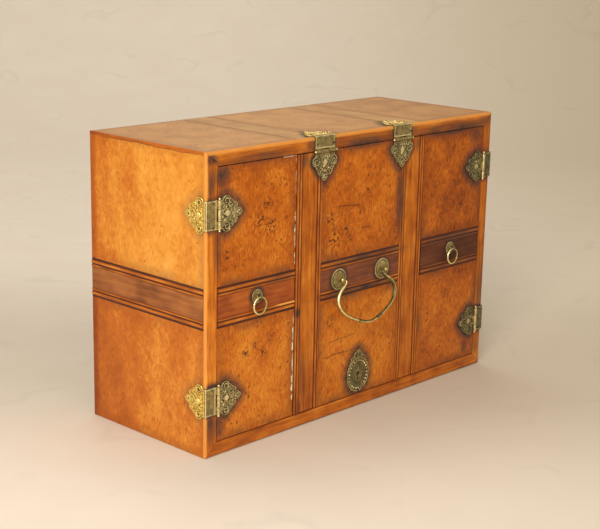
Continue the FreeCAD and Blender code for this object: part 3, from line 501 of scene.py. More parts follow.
@dataclass(frozen=True)
class BurrVeneer(Finish):
    """Burr veneer, sliced from a knotty root, shellacked and waxed.

    The eye sees honey clouds under short upright flecks, pips singly and in knots, a few cracks and, on the
    side, a line of painted shade, with grime at the edges and a dark halo round the brass.

    Attributes:
        depth: How strongly the clouds show, curl the curly figure, and fleck the short fibres.
        pips: Share of the places that have a pip, and pip_share how dark they are.
        deep_at: The tone at which the deepest colour is reached.
        between: Further tones with their colours.
        shine: The wax's share of the shader's reflection.
        dirt: How dark the dust at the edges is.
        edge_share: How far the edges go to the deepest colour, and edge_mm how far in.
        cloud_mm: Size of the clouds along and across the grain.
        bend_mm: How far the swirls bend the grain.
        fibre_mm: Length and width of the fibres, drawn coarser than the real tenth of a mm so that they show.
        pip_size: Shares of the pips' spacing at which one starts and is full.
        rim_mm: Where the dust at the edges starts and is full.
        fades: Slow changes of tone.
        knots: Places of knots on the front, along and up, with their radius, in mm.
        cracks_and_shade_lines: Cracks in the panels, and lines of painted shade.
    """

    slot: str = "burr_veneer"
    deep: str = "#7E3A0B"
    middle: str = "#BB6A1E"
    light: str = "#E0943B"
    pip: str = "#3C1606"
    grime: str = "#382C2C"
    chip: str = "#EADCBC"
    depth: float = 0.5
    curl: float = 0.45
    fleck: float = 0.8
    pips: float = 0.7
    pip_share: float = 0.75
    deep_at: float = 0.2
    between: tuple[tuple[float, str], ...] = ()
    shine: float = 0.3
    dirt: float = 0.75
    halo: float = 1.0
    halo_mm: float = 11.5
    edge_share: float = 1.0
    edge_mm: float = 15.0
    cloud_mm: Pair = (30.0, 30.0)
    swirl_mm: float = 12.0
    bend_mm: float = 13.0
    figure_mm: float = 5.0
    fibre_mm: Pair = (7.0, 1.2)
    pip_mm: float = 5.0
    pip_size: Pair = (0.30, 0.08)
    eye_mm: float = 2.6
    rim_mm: Pair = (8.0, 0.5)
    tear_mm: float = 5.0
    fades: tuple[Fade, ...] = ()
    knots: tuple[Triple, ...] = ()
    cracks_and_shade_lines: tuple[CrackAndShadeLine, ...] = ()

    def darkness(self, put: Put, place: Socket, bent: Socket, cloud: Socket) -> Socket:
        """Scatters the pips, crowds the knots and draws the cracks and the lines of painted shade.

        Args:
            put: Adds a node to the material.
            place: The place on the object in mm.
            bent: The place in the bent grain.
            cloud: The clouds' noise.

        Returns:
            How dark the place is.
        """
        cell = put("TexVoronoi", {"Vector": bent, "Scale": 1 / self.pip_mm})
        chance = put("SeparateXYZ", (cell.node.outputs["Color"],))
        chance = put("MapRange", (chance, self.pips, 0.0, 0.0, 1.3))
        start, full = self.pip_size
        dot = put("MapRange", (cell, start, full, 0.0, self.pip_share), interpolation_type="SMOOTHSTEP")
        dark = put("Math", (dot, chance), operation="MULTIPLY")
        crowd = 0.0
        flat = put("VectorMath", (place, (1.0, 0.0, 1.0)), operation="MULTIPLY")
        for x, z, radius in self.knots:
            near = put("VectorMath", (flat, (x, 0.0, z)), 1, operation="DISTANCE")
            near = put("MapRange", (near, radius, radius * 0.3))
            crowd = put("Math", (near, crowd), operation="MAXIMUM")
        eye = put("TexNoise", {"Vector": bent, "Scale": 1 / self.eye_mm})
        eye = put("MapRange", (eye, 0.5, 0.58, 0.0, 0.9))
        eye = put("Math", (eye, crowd), operation="MULTIPLY")
        for mark in (eye, *(crack.draw(put, place, cloud) for crack in self.cracks_and_shade_lines)):
            dark = put("Math", (dark, mark), operation="MAXIMUM")
        return dark

    def paint(self, put: Put) -> dict:
        """Adds the veneer's nodes.

        Args:
            put: Adds a node to the material.

        Returns:
            The shader's inputs.
        """
        grain = put("Attribute", out="Vector", attribute_name="grain")
        edge, stain, soil_and_shade, wear = (put("Attribute", out="Fac", attribute_name=word) for word in SURFACE)
        place = put("TexCoord", out="Object")
        place = put("VectorMath", {0: place, "Scale": 1 / MM}, operation="SCALE")
        swirl = put("TexNoise", {"Vector": grain, "Scale": 1 / self.swirl_mm}, "Color")
        swirl = put("VectorMath", (swirl, HALVES), operation="SUBTRACT")
        bend = (self.bend_mm, self.bend_mm, 0.0)
        bent = put("VectorMath", (swirl, bend, grain), operation="MULTIPLY_ADD")
        along, across = self.cloud_mm
        cloud = put("Mapping", {"Vector": grain, "Scale": (1 / along, 1 / across, 1 / along)})
        cloud = put("TexNoise", {"Vector": cloud, "Scale": 1.0, "Detail": 3.0, "Roughness": 0.55})
        figure = put("TexNoise", {
            "Vector": bent, "Scale": 1 / self.figure_mm, "Detail": 5.0, "Roughness": 0.65})
        along, across = self.fibre_mm
        fibre = put("Mapping", {"Vector": bent, "Scale": (1 / along, 1 / across, 1.0)})
        fibre = put("TexNoise", {"Vector": fibre, "Scale": 1.0, "Detail": 3.0, "Roughness": 0.6})
        tone = 0.5 - 0.5 * (self.depth + self.curl + self.fleck)
        for layer, share in ((cloud, self.depth), (figure, self.curl), (fibre, self.fleck)):
            tone = put("Math", (layer, share, tone), operation="MULTIPLY_ADD")
        for fade in self.fades:
            tone = fade.laid(put, place, tone)
        colour = put("ValToRGB", (tone,), stops=(
            (self.deep_at, self.deep), (0.76, self.light), (0.50, self.middle), *self.between))
        dark = self.darkness(put, place, bent, cloud)

        start, full = self.rim_mm
        rim = put("MapRange", (edge, start, full))
        edge = put("MapRange", (edge, 0.0, self.edge_mm, self.edge_share, 0.0),
                   interpolation_type="SMOOTHERSTEP")
        edge = put("Math", (edge, cloud), operation="MULTIPLY")
        halo = put("MapRange", (stain, 0.0, self.halo_mm, self.halo, 0.0), interpolation_type="SMOOTHSTEP")
        halo = put("Math", (halo, soil_and_shade), operation="MAXIMUM")
        ragged = put("MapRange", (figure, 0.3, 0.62, 0.45))
        halo = put("Math", (halo, ragged), operation="MULTIPLY")
        dust = put("MapRange", (cloud, 0.46, 0.62, 0.0, self.dirt))
        dust = put("Math", (dust, rim), operation="MULTIPLY")
        halo = put("Math", (halo, dust), operation="MAXIMUM")
        torn = put("TexNoise", {"Vector": grain, "Scale": 1 / self.tear_mm, "Detail": 3.0})
        torn = put("Math", (torn, 1.5, wear), operation="MULTIPLY_ADD")
        torn = put("MapRange", (torn, 1.36, 1.46))
        for share, shade in ((dark, self.pip), (edge, self.deep), (halo, self.grime), (torn, self.chip)):
            colour = put("Mix", {0: share, 6: colour, 7: linear(shade)}, 2, data_type="RGBA")
        gloss = put("MapRange", (figure, 0.3, 0.7, 0.30, 0.44))
        gloss = put("Math", (halo, 0.25, gloss), operation="MULTIPLY_ADD")
        height = put("Math", (fibre, dark), operation="SUBTRACT")
        bump = put("Bump", {"Strength": 0.22, "Distance": 0.25 * MM, "Height": height})
        return {"Base Color": colour, "Roughness": gloss, "IOR": 1.5, "Specular IOR Level": self.shine,
                "Normal": bump}


@dataclass(frozen=True)
class StraightVeneer(Finish):
    """Plain-sliced veneer and mouldings of the same wood, shellacked and waxed.

    The eye sees long fibres in streaks of honey and red-brown, darker where polish and dust gather.

    Attributes:
        bare_and_highlight: The wood where the polish is worn off, also the colour of painted highlights on
            lit arrises and beads.
        streak_mm: Length and width of the streaks.
        fibre_mm: Length and width of the fibres, drawn coarser than the real tenth of a mm so that they show.
        patch_mm: Size of the patches, which also bend the streaks by up to bend_mm.
        rough: Least and greatest roughness.
    """

    slot: str = "straight_veneer"
    deep: str = "#7A3509"
    middle: str = "#B4611B"
    light: str = "#D98A38"
    grime: str = "#3E2C28"
    bare_and_highlight: str = "#F6A94E"
    streak_mm: Pair = (55.0, 2.6)
    fibre_mm: Pair = (9.0, 0.7)
    patch_mm: float = 30.0
    bend_mm: float = 5.0
    halo_mm: float = 7.0
    edge_mm: float = 0.9
    rough: Pair = (0.32, 0.46)
    shine: float = 0.3

    def paint(self, put: Put) -> dict:
        """Adds the veneer's nodes.

        Args:
            put: Adds a node to the material.

        Returns:
            The shader's inputs.
        """
        grain = put("Attribute", out="Vector", attribute_name="grain")
        edge, stain, soil_and_shade, wear = (put("Attribute", out="Fac", attribute_name=word) for word in SURFACE)
        patch = put("TexNoise", {"Vector": grain, "Scale": 1 / self.patch_mm})
        sway = put("VectorMath", (patch.node.outputs["Color"], HALVES), operation="SUBTRACT")
        bent = put("VectorMath", (sway, (0.0, self.bend_mm, 0.0), grain), operation="MULTIPLY_ADD")
        layers = []
        for along, across in (self.streak_mm, self.fibre_mm):
            thread = put("Mapping", {"Vector": bent, "Scale": (1 / along, 1 / across, 1.0)})
            layers.append(put("TexNoise", {
                "Vector": thread, "Scale": 1.0, "Detail": 4.0, "Roughness": 0.6}))
        streak, fibre = layers
        tone = -0.14
        for layer, share in ((streak, 0.5), (fibre, 0.3), (patch, 0.45)):
            tone = put("Math", (layer, share, tone), operation="MULTIPLY_ADD")
        colour = put("ValToRGB", (tone,), stops=(
            (0.30, self.deep), (0.50, self.middle), (0.70, self.light)))
        edge = put("MapRange", (edge, 0.0, self.edge_mm, 0.75, 0.0))
        halo = put("MapRange", (stain, 0.0, self.halo_mm, 1.0, 0.0), interpolation_type="SMOOTHERSTEP")
        # The dirt share also holds painted shade down the front's right arris.
        halo = put("Math", (halo, soil_and_shade), operation="MAXIMUM")
        ragged = put("MapRange", (patch, 0.3, 0.62, 0.35))
        halo = put("Math", (halo, ragged), operation="MULTIPLY")
        # The wear share also holds painted highlights on lit arrises and on the left door's bead.
        for share, shade in ((edge, self.deep), (halo, self.grime), (wear, self.bare_and_highlight)):
            colour = put("Mix", {0: share, 6: colour, 7: linear(shade)}, 2, data_type="RGBA")
        smooth, dull = self.rough
        gloss = put("MapRange", (fibre, 0.3, 0.7, smooth, dull))
        bump = put("Bump", {"Strength": 0.2, "Distance": 0.2 * MM, "Height": fibre})
        return {"Base Color": colour, "Roughness": gloss, "IOR": 1.5, "Specular IOR Level": self.shine,
                "Normal": bump}


@dataclass(frozen=True)
class PlainBoard(Finish):
    """Sawn and planed case wood, oiled by age: matt, dull brown, with long open grain.

    Attributes:
        axis: The axis that the grain runs along: 0 for X, 2 for Z.
        ring_mm: Length and width of the growth rings' figure.
        pore_mm: Length and width of the pores, drawn coarser than the real tenth of a mm so that they show.
    """

    axis: int = 0
    deep: str = "#5B351A"
    middle: str = "#7E5029"
    light: str = "#9C6B3C"
    ring_mm: Pair = (70.0, 5.0)
    pore_mm: Pair = (8.0, 0.6)

    def paint(self, put: Put) -> dict:
        """Adds the board's nodes.

        Args:
            put: Adds a node to the material.

        Returns:
            The shader's inputs.
        """
        place = put("TexCoord", out="Object")
        layers = []
        for along, across in (self.ring_mm, self.pore_mm):
            scale = [1 / (across * MM)] * 3
            scale[self.axis] = 1 / (along * MM)
            thread = put("Mapping", {"Vector": place, "Scale": scale})
            layers.append(put("TexNoise", {
                "Vector": thread, "Scale": 1.0, "Detail": 4.0, "Distortion": 0.4}))
        ring, pore = layers
        tone = put("Math", (pore, 0.35, -0.17), operation="MULTIPLY_ADD")
        tone = put("Math", (ring, tone), operation="ADD")
        colour = put("ValToRGB", (tone,), stops=(
            (0.28, self.deep), (0.50, self.middle), (0.72, self.light)))
        rough = put("MapRange", (pore, 0.3, 0.7, 0.55, 0.75))
        bump = put("Bump", {"Strength": 0.25, "Distance": 0.3 * MM, "Height": pore})
        return {"Base Color": colour, "Roughness": rough, "IOR": 1.5, "Normal": bump}


@dataclass(frozen=True)
class AgedBrass(Finish):
    """Cast brass, chased and handled: bright yellow on the ridges, olive skin, brown and green in the ground.

    Attributes:
        painted_highlight: Colours from ground to ridge for brass painted golden and bright as lit.
        level: The skin's share of brightness where a piece has no relief of its own, or 0 where it has.
        rough: Roughness of the ground and of the ridges.
        blotch_mm: Size of the tarnish's blotches. The verdigris lies in blotches three times as large.
        pit_mm: Size of the casting's pits, drawn coarser than the real fifth of a mm so that they show.
        tones: Where the four colours lie, from ground to ridge.
    """

    slot: str = "aged_brass"
    ground: str = "#292112"
    olive: str = "#6A5C3A"
    skin: str = "#AA945A"
    bright: str = "#F6E4AE"
    verdigris: str = "#66704E"
    painted_highlight: tuple[str, str, str, str] = ("#5A3E12", "#A07A2A", "#DDAA3C", "#FFE680")
    level: float = 0.0
    rough: Pair = (0.55, 0.30)
    blotch_mm: float = 3.0
    pit_mm: float = 0.8
    tones: Quad = (0.04, 0.28, 0.56, 0.90)

    def paint(self, put: Put) -> dict:
        """Adds the brass's nodes.

        Args:
            put: Adds a node to the material.

        Returns:
            The shader's inputs.
        """
        place = put("TexCoord", out="Object")
        blotch, pit, green = (
            put("TexNoise", {"Vector": place, "Scale": 1 / (size * MM), "Detail": detail})
            for size, detail in ((self.blotch_mm, 4.0), (self.pit_mm, 2.0), (3 * self.blotch_mm, 3.0)))
        relief = self.level or put("Attribute", out="Fac", attribute_name="relief")
        tone = put("Math", (relief, -0.525), operation="ADD")
        for layer, share in ((blotch, 0.75), (pit, 0.3)):
            tone = put("Math", (layer, share, tone), operation="MULTIPLY_ADD")
        aged = (self.ground, self.olive, self.skin, self.bright)
        colour, gold = (put("ValToRGB", (tone,), stops=tuple(zip(self.tones, shades)))
                        for shades in (aged, self.painted_highlight))
        low = put("MapRange", (tone, 0.5, 0.2, 0.0, 0.7))
        green = put("MapRange", (green, 0.48, 0.62))
        green = put("Math", (green, low), operation="MULTIPLY")
        worn = put("Attribute", out="Fac", attribute_name="wear")
        # The wear share paints the lit sides of the hinge plates golden: painted light.
        for share, shade in ((green, linear(self.verdigris)), (worn, gold)):
            colour = put("Mix", {0: share, 6: colour, 7: shade}, 2, data_type="RGBA")
        metal = put("MapRange", (tone, 0.05, 0.7, 0.3, 0.85))
        dull, smooth = self.rough
        rough = put("MapRange", (tone, 0.1, 0.9, dull, smooth))
        bump = put("Bump", {"Strength": 0.3, "Distance": 0.2 * MM, "Height": pit})
        return {"Base Color": colour, "Metallic": metal, "Roughness": rough, "Normal": bump}


@dataclass(frozen=True)
class FiledIron(Finish):
    """Wrought lock iron, filed and oiled: dark grey, brown where it has rusted.

    Attributes:
        blotch_mm: Size of the rust's blotches.
        file_mm: Length and width of the file's strokes, drawn coarser than the real ones so that they show.
    """

    dark: str = "#2A2724"
    grey: str = "#5A5650"
    rust: str = "#6B4026"
    blotch_mm: float = 6.0
    file_mm: Pair = (4.8, 0.6)

    def paint(self, put: Put) -> dict:
        """Adds the iron's nodes.

        Args:
            put: Adds a node to the material.

        Returns:
            The shader's inputs.
        """
        place = put("TexCoord", out="Object")
        blotch = put("TexNoise", {"Vector": place, "Scale": 1 / (self.blotch_mm * MM), "Detail": 5.0})
        along, across = (1 / (size * MM) for size in self.file_mm)
        stroke = put("Mapping", {"Vector": place, "Scale": (along, across, across)})
        stroke = put("TexNoise", {"Vector": stroke, "Scale": 1.0})
        colour = put("ValToRGB", (blotch,), stops=(
            (0.35, self.dark), (0.70, self.rust), (0.52, self.grey)))
        metal = put("MapRange", (blotch, 0.55, 0.68, 0.95, 0.2))
        rough = put("MapRange", (blotch, 0.4, 0.7, 0.38, 0.75))
        bump = put("Bump", {"Strength": 0.3, "Distance": 0.2 * MM, "Height": stroke})
        return {"Base Color": colour, "Metallic": metal, "Roughness": rough, "Normal": bump}


@dataclass(frozen=True)
class SweepPaper(Finish):
    """Matt cream paper, hung in a sweep: a faint cloudy mottle, a few creases, and painted shade behind the
    box and to one side.

    Attributes:
        shaded_end: Its colour at the right end of its run, painted shade away from the key lamp.
        dusk: What its colour is multiplied by just behind the box, as painted shade.
        across: Cosine and sine of the turn from its width to the frame's X axis.
        run: Where the change to the shaded colour starts and ends, across it in metres.
        behind: Where the dusk starts and is full, away from the camera in metres.
        lifted: Where the dusk is gone and where it is last full, further away.
    """

    shaded_end: str = "#D4C7AF"
    low: str = "#E6DACA"
    high: str = "#EADFD0"
    crease: str = "#8E8068"
    dusk: str = "#E6E4E0"
    cloud_mm: float = 90.0
    fold_mm: float = 160.0
    across: Pair = (0.689, 0.725)
    run: Pair = (-0.25, 0.75)
    behind: Pair = (-0.32, 0.0)
    lifted: Pair = (0.55, 0.12)

    def paint(self, put: Put) -> dict:
        """Adds the paper's nodes.

        Args:
            put: Adds a node to the material.

        Returns:
            The shader's inputs.
        """
        place = put("TexCoord", out="Object")
        cloud = put("TexNoise", {"Vector": place, "Scale": 1 / (self.cloud_mm * MM), "Detail": 5.0})
        colour = put("ValToRGB", (cloud,), stops=((0.3, self.low), (0.7, self.high)))
        cosine, sine = self.across
        way, away = (put("VectorMath", (place, axis), 1, operation="DOT_PRODUCT")
                     for axis in ((cosine, -sine, 0.0), (sine, cosine, 0.0)))
        side, back, front = (
            put("MapRange", (value, start, end), interpolation_type="SMOOTHSTEP")
            for value, (start, end) in ((way, self.run), (away, self.behind), (away, self.lifted)))
        shade = put("Math", (back, front), operation="MULTIPLY")
        fold = put("TexNoise", {"Vector": place, "Scale": 1 / (self.fold_mm * MM)})
        fold = put("Math", (fold, 0.5), operation="SUBTRACT")
        fold = put("Math", (fold,), operation="ABSOLUTE")
        fold = put("MapRange", (fold, 0.03, 0.0))
        kept = put("MapRange", (cloud, 0.52, 0.62, 0.0, 0.10))
        fold = put("Math", (fold, kept), operation="MULTIPLY")
        # The shaded end and the dusk are painted shade; the creases are the paper's own.
        tints = ((side, self.shaded_end, "MIX"), (shade, self.dusk, "MULTIPLY"), (fold, self.crease, "MIX"))
        for share, tint, blend in tints:
            colour = put("Mix", {0: share, 6: colour, 7: linear(tint)}, 2,
                         data_type="RGBA", blend_type=blend)
        bump = put("Bump", {"Strength": 0.05, "Distance": MM, "Height": cloud})
        return {"Base Color": colour, "Roughness": 0.9, "Normal": bump}


FRONT_BURR = BurrVeneer(
    "waxed burr veneer, front", deep="#712B04", middle="#C1640E", light="#E28F2A", edge_share=0.65, dirt=0.5,
    # The fade along X is painted shade, darkening the right door, which lies further from the lamps.
    fades=(Fade(2, 140.0, 90.0, 0.08), Fade(0, 70.0, 120.0, -0.12)),
    knots=((-134.0, 205.0, 11.0), (-123.0, 199.0, 11.0), (-127.0, 220.0, 8.0), (-152.0, 88.0, 6.0),
           (-140.0, 93.0, 6.0), (-130.0, 84.0, 7.0), (-120.0, 95.0, 6.0), (-39.0, 174.0, 16.0),
           (-22.0, 179.0, 9.0), (-43.0, 193.0, 9.0), (-41.6, 94.6, 9.0), (151.2, 180.3, 8.0),
           (-150.0, 47.0, 6.0), (-17.0, 244.0, 4.0), (10.0, 239.0, 4.0)),
    cracks_and_shade_lines=(CrackAndShadeLine((-54.0, 60.4), (0.0, 60.7)), CrackAndShadeLine((-46.0, 74.4), (-4.0, 76.6), width=0.9),
            CrackAndShadeLine((-37.6, 205.0), (-2.3, 201.5), 1.0), CrackAndShadeLine((-1.3, 179.6), (14.7, 179.2), 1.0, 1.0)))
# The side's copy is lighter and more golden than the front's: partly the wood's own tone, partly painted
# light, as the side faces the lamps.
SIDE_BURR = BurrVeneer(
    "waxed burr veneer, side", deep="#8E3C04", middle="#E49836", light="#F8BC62", depth=0.4, curl=0.32,
    fleck=0.35, edge_share=0.4, pips=0.4, pip_share=0.4, deep_at=0.06, between=((0.34, "#C66C18"),), dirt=0.2,
    halo=0.35, cloud_mm=(44.0, 26.0),
    # The first fade darkens the side towards the bottom: partly the wood's own tone, partly painted shade as
    # the light falls off. The last fade is painted shade along the side's top edge, under the top.
    fades=(Fade(2, 150.0, 110.0, -0.14), Fade(1, -20.0, 74.0, -0.12), Fade(1, 68.0, 75.0, -0.14),
           Fade(2, 269.8, 270.8, -0.16)),
    # This line along the top of the side is painted shade under the top's edge.
    cracks_and_shade_lines=(CrackAndShadeLine((-78.0, 270.3), (72.0, 270.3), 1.2, 0.9, axis=1),))
TOP_BURR = BurrVeneer("waxed burr veneer, top", deep="#7E4818", middle="#BA8040", light="#D8A25A", depth=0.6,
                      curl=0.45, fleck=0.6, pips=0.3, dirt=0.3, shine=0.5, edge_share=0.5,
                      fades=(Fade(0, -20.0, 180.0, -0.07),))
TOP_BAND = StraightVeneer("waxed cross-banding, top", deep="#8C5C2C", middle="#B48246",
                          light="#CE9E5E", shine=0.5)
STRAIGHT = StraightVeneer("waxed straight veneer", deep="#702C05", middle="#BC6410", light="#E0902E")
LIPPING_WOOD = StraightVeneer("waxed lipping", deep="#7A3206", middle="#CC7014", light="#EC9C36")
BEADING = StraightVeneer("waxed beading", deep="#702E08", middle="#C06A18", light="#E89C42",
                         rough=(0.26, 0.4))
# The right door's dark beading is partly the wood's own tone, partly painted shade, as that door lies further
# from the lamps.
RIGHT_SHADED_BEADING = replace(BEADING, name="waxed beading, dark", deep="#4E210E", middle="#8C4A1A", light="#B87230")
WAIST = StraightVeneer("stained waist veneer", "waist_veneer", deep="#4C2620", middle="#84482C",
                       light="#A46236", streak_mm=(60.0, 3.4))
SIDE_WAIST = replace(WAIST, name="stained waist veneer, side", deep="#663618", middle="#9A5A2C",
                     light="#BA763A")
# The right door's dark waist is partly painted shade, and the left door's lighter waist partly painted light,
# beside the veneer's own tone.
RIGHT_SHADED_WAIST = replace(WAIST, name="stained waist veneer, dark", deep="#341610", middle="#5E2E18",
                    light="#7C4624")
LEFT_LIT_WAIST = replace(WAIST, name="stained waist veneer, rubbed", deep="#6A2C12", middle="#A24E1A",
                     light="#C26E28")
DARK_LINE = StraightVeneer("dark stringing", "dark_stringing", deep="#30140C", middle="#522616",
                           light="#763E22", bare_and_highlight="#AC7C42", rough=(0.36, 0.5))
BOARD_ACROSS = PlainBoard("planed case wood, lying", axis=0)
BOARD_UPRIGHT = PlainBoard("planed case wood, upright", axis=2)
BRASS = AgedBrass("cast brass, aged")
WIRE_BRASS = AgedBrass("drawn brass, handled", level=0.52, rough=(0.42, 0.22))
# This finish shows the wire's painted highlight, carried in its relief.
PAINTED_HIGHLIGHT_WIRE = AgedBrass("drawn brass, rubbed", olive="#625420", skin="#AE923E", bright="#FFF0AC",
                        rough=(0.45, 0.26))
OLD_NAIL = AgedBrass("brass nails, blackened", level=0.12)
IRON = FiledIron("filed lock iron")
PAPER = SweepPaper("matt sweep paper")


@dataclass(frozen=True)
class Cut:
    """How a kind of sheet is cut and laid, in mm.

    Attributes:
        step: Spacing of its points.
        ease: Radius of its edges: at its start, its end, its first side and its last side.
        wave: Height of the unevenness left by hand laying.
        sink: How far it lies below its solid's face.
        crown: Height of a half-round moulding.
        grain: Which way its grain runs.
        mitred: Whether its ends are mitred.
    """

    step: float = 3.0
    ease: Quad = (0.25, 0.25, 0.25, 0.25)
    wave: float = 0.06
    sink: float = 0.0
    crown: float = 0.0
    grain: Grain = Grain.UP
    mitred: bool = False


UPRIGHT = Cut()
BAND = Cut(grain=Grain.LENGTHWISE)
LINE = Cut(grain=Grain.LENGTHWISE, sink=0.14, step=6.0, ease=(0.05, 0.05, 0.05, 0.05))
BEAD = Cut(grain=Grain.LENGTHWISE, crown=0.6, step=4.0, ease=(0.1, 0.1, 0.0, 0.0))
LIPPING = Cut(grain=Grain.LENGTHWISE, step=4.0, ease=(0.12, 0.12, 2.2, 0.35), mitred=True)

STAINS: dict[Face, list[Triple]] = {face: [] for face in Face}
# How far outside itself a sheet looks for brass, and its least thickness, in mm
STAIN_REACH, LEAST_THICK = 8.0, 0.2
WAVES_PER_MM = 0.035
# What shifts the unevenness, the place along the grain and the figure from one sheet to the next
NEXT_WAVE, NEXT_PLACE, NEXT_FIGURE = 7.7, 0.37, 53.0


@dataclass(frozen=True)
class SoilAndShade:
    """A patch of the front darkened by old dirt in the polish, and in one place by painted shade: its middle,
    half its width and height in mm, and its share.
    """

    along: float
    up: float
    wide: float
    high: float
    share: float

    def at(self, u: float, v: float) -> float:
        """Gives the share of dirt at a place."""
        away = math.hypot((u - self.along) / self.wide, (v - self.up) / self.high)
        return self.share * rise(1.0, 0.25, away)


SOILS_AND_SHADE = tuple(SoilAndShade(*row) for row in (
    # The left door and the lipping beside it
    (-181.0, 251.0, 14.0, 16.0, 1.0), (-187.0, 190.0, 6.0, 36.0, 0.65),
    (-184.0, 28.0, 11.0, 19.0, 0.85), (-118.0, 261.0, 16.0, 4.0, 0.6),
    (-194.0, 266.0, 9.0, 8.0, 1.2), (-194.5, 245.0, 6.0, 28.0, 0.8),
    (-193.5, 28.0, 9.0, 24.0, 1.1), (-110.0, 149.5, 26.0, 6.0, 0.6),
    # The flap, its stiles and the lipping above it
    (-10.0, 121.0, 75.0, 4.6, 1.0), (10.0, 150.5, 80.0, 4.6, 0.9),
    (-42.0, 254.0, 13.0, 9.0, 0.8), (6.0, 258.0, 34.0, 4.0, 0.7),
    (55.0, 200.0, 9.0, 55.0, 0.8), (-81.0, 254.0, 7.0, 13.0, 0.75),
    (80.0, 254.0, 6.0, 13.0, 0.65), (-86.0, 112.0, 5.0, 7.0, 1.6),
    (-84.0, 20.0, 5.0, 13.0, 0.8), (-78.0, 50.0, 8.0, 36.0, 0.4),
    (-73.0, 266.0, 8.0, 9.0, 0.8), (-36.0, 267.0, 7.0, 9.0, 0.6),
    (37.0, 265.0, 9.0, 9.0, 0.85), (74.0, 266.0, 8.0, 9.0, 0.6),
    (0.0, 262.0, 60.0, 9.0, 1.0), (-135.0, 262.5, 62.0, 7.5, 0.75),
    # The right door and the lipping beside it
    (174.0, 252.0, 14.0, 15.0, 0.75), (172.0, 26.0, 9.0, 13.0, 0.8),
    (140.0, 149.5, 60.0, 6.0, 0.6), (197.0, 267.0, 10.0, 9.0, 0.8),
    # The first patch here, down the whole right arris, is painted shade.
    (201.5, 150.0, 4.0, 150.0, 0.6), (196.0, 76.0, 12.0, 62.0, 0.66),
    (192.0, 22.0, 7.0, 14.0, 0.6), (186.0, 265.0, 16.0, 8.0, 0.7),
    (134.0, 262.0, 90.0, 9.0, 1.0),
))


def soiled_and_shaded(face: Face, u: float, v: float) -> float:
    """Gives the share of old dirt, and of painted shade, at a place on a face."""
    return max(soil_and_shade.at(u, v) for soil_and_shade in SOILS_AND_SHADE) if face is Face.FRONT else 0.0


def unworn(u: float, v: float) -> float:
    """Gives no wear at any place."""
    return 0.0


def stations(length: float, step: float, first: float, last: float) -> list[float]:
    """Places points along a length, closer at its eased ends.

    Args:
        length: The length in mm.
        step: Widest spacing.
        first: Radius of the edge at the start.
        last: Radius of the edge at the end.

    Returns:
        Places from 0 to the length.
    """
    shares = (0.0, 0.15, 0.45, 1.0)
    start = [first * share for share in shares] + [first + 0.5, first + 1.3]
    end = [length - last * share for share in shares] + [length - last - 0.5, length - last - 1.3]
    low, high = first + 1.3, length - last - 1.3
    if high - low < 0.5:
        return [length * k / 8 for k in range(9)]
    count = max(1, math.ceil((high - low) / step))
    middle = [low + (high - low) * k / count for k in range(1, count)]
    return sorted({round(place, 4) for place in start + middle + end})


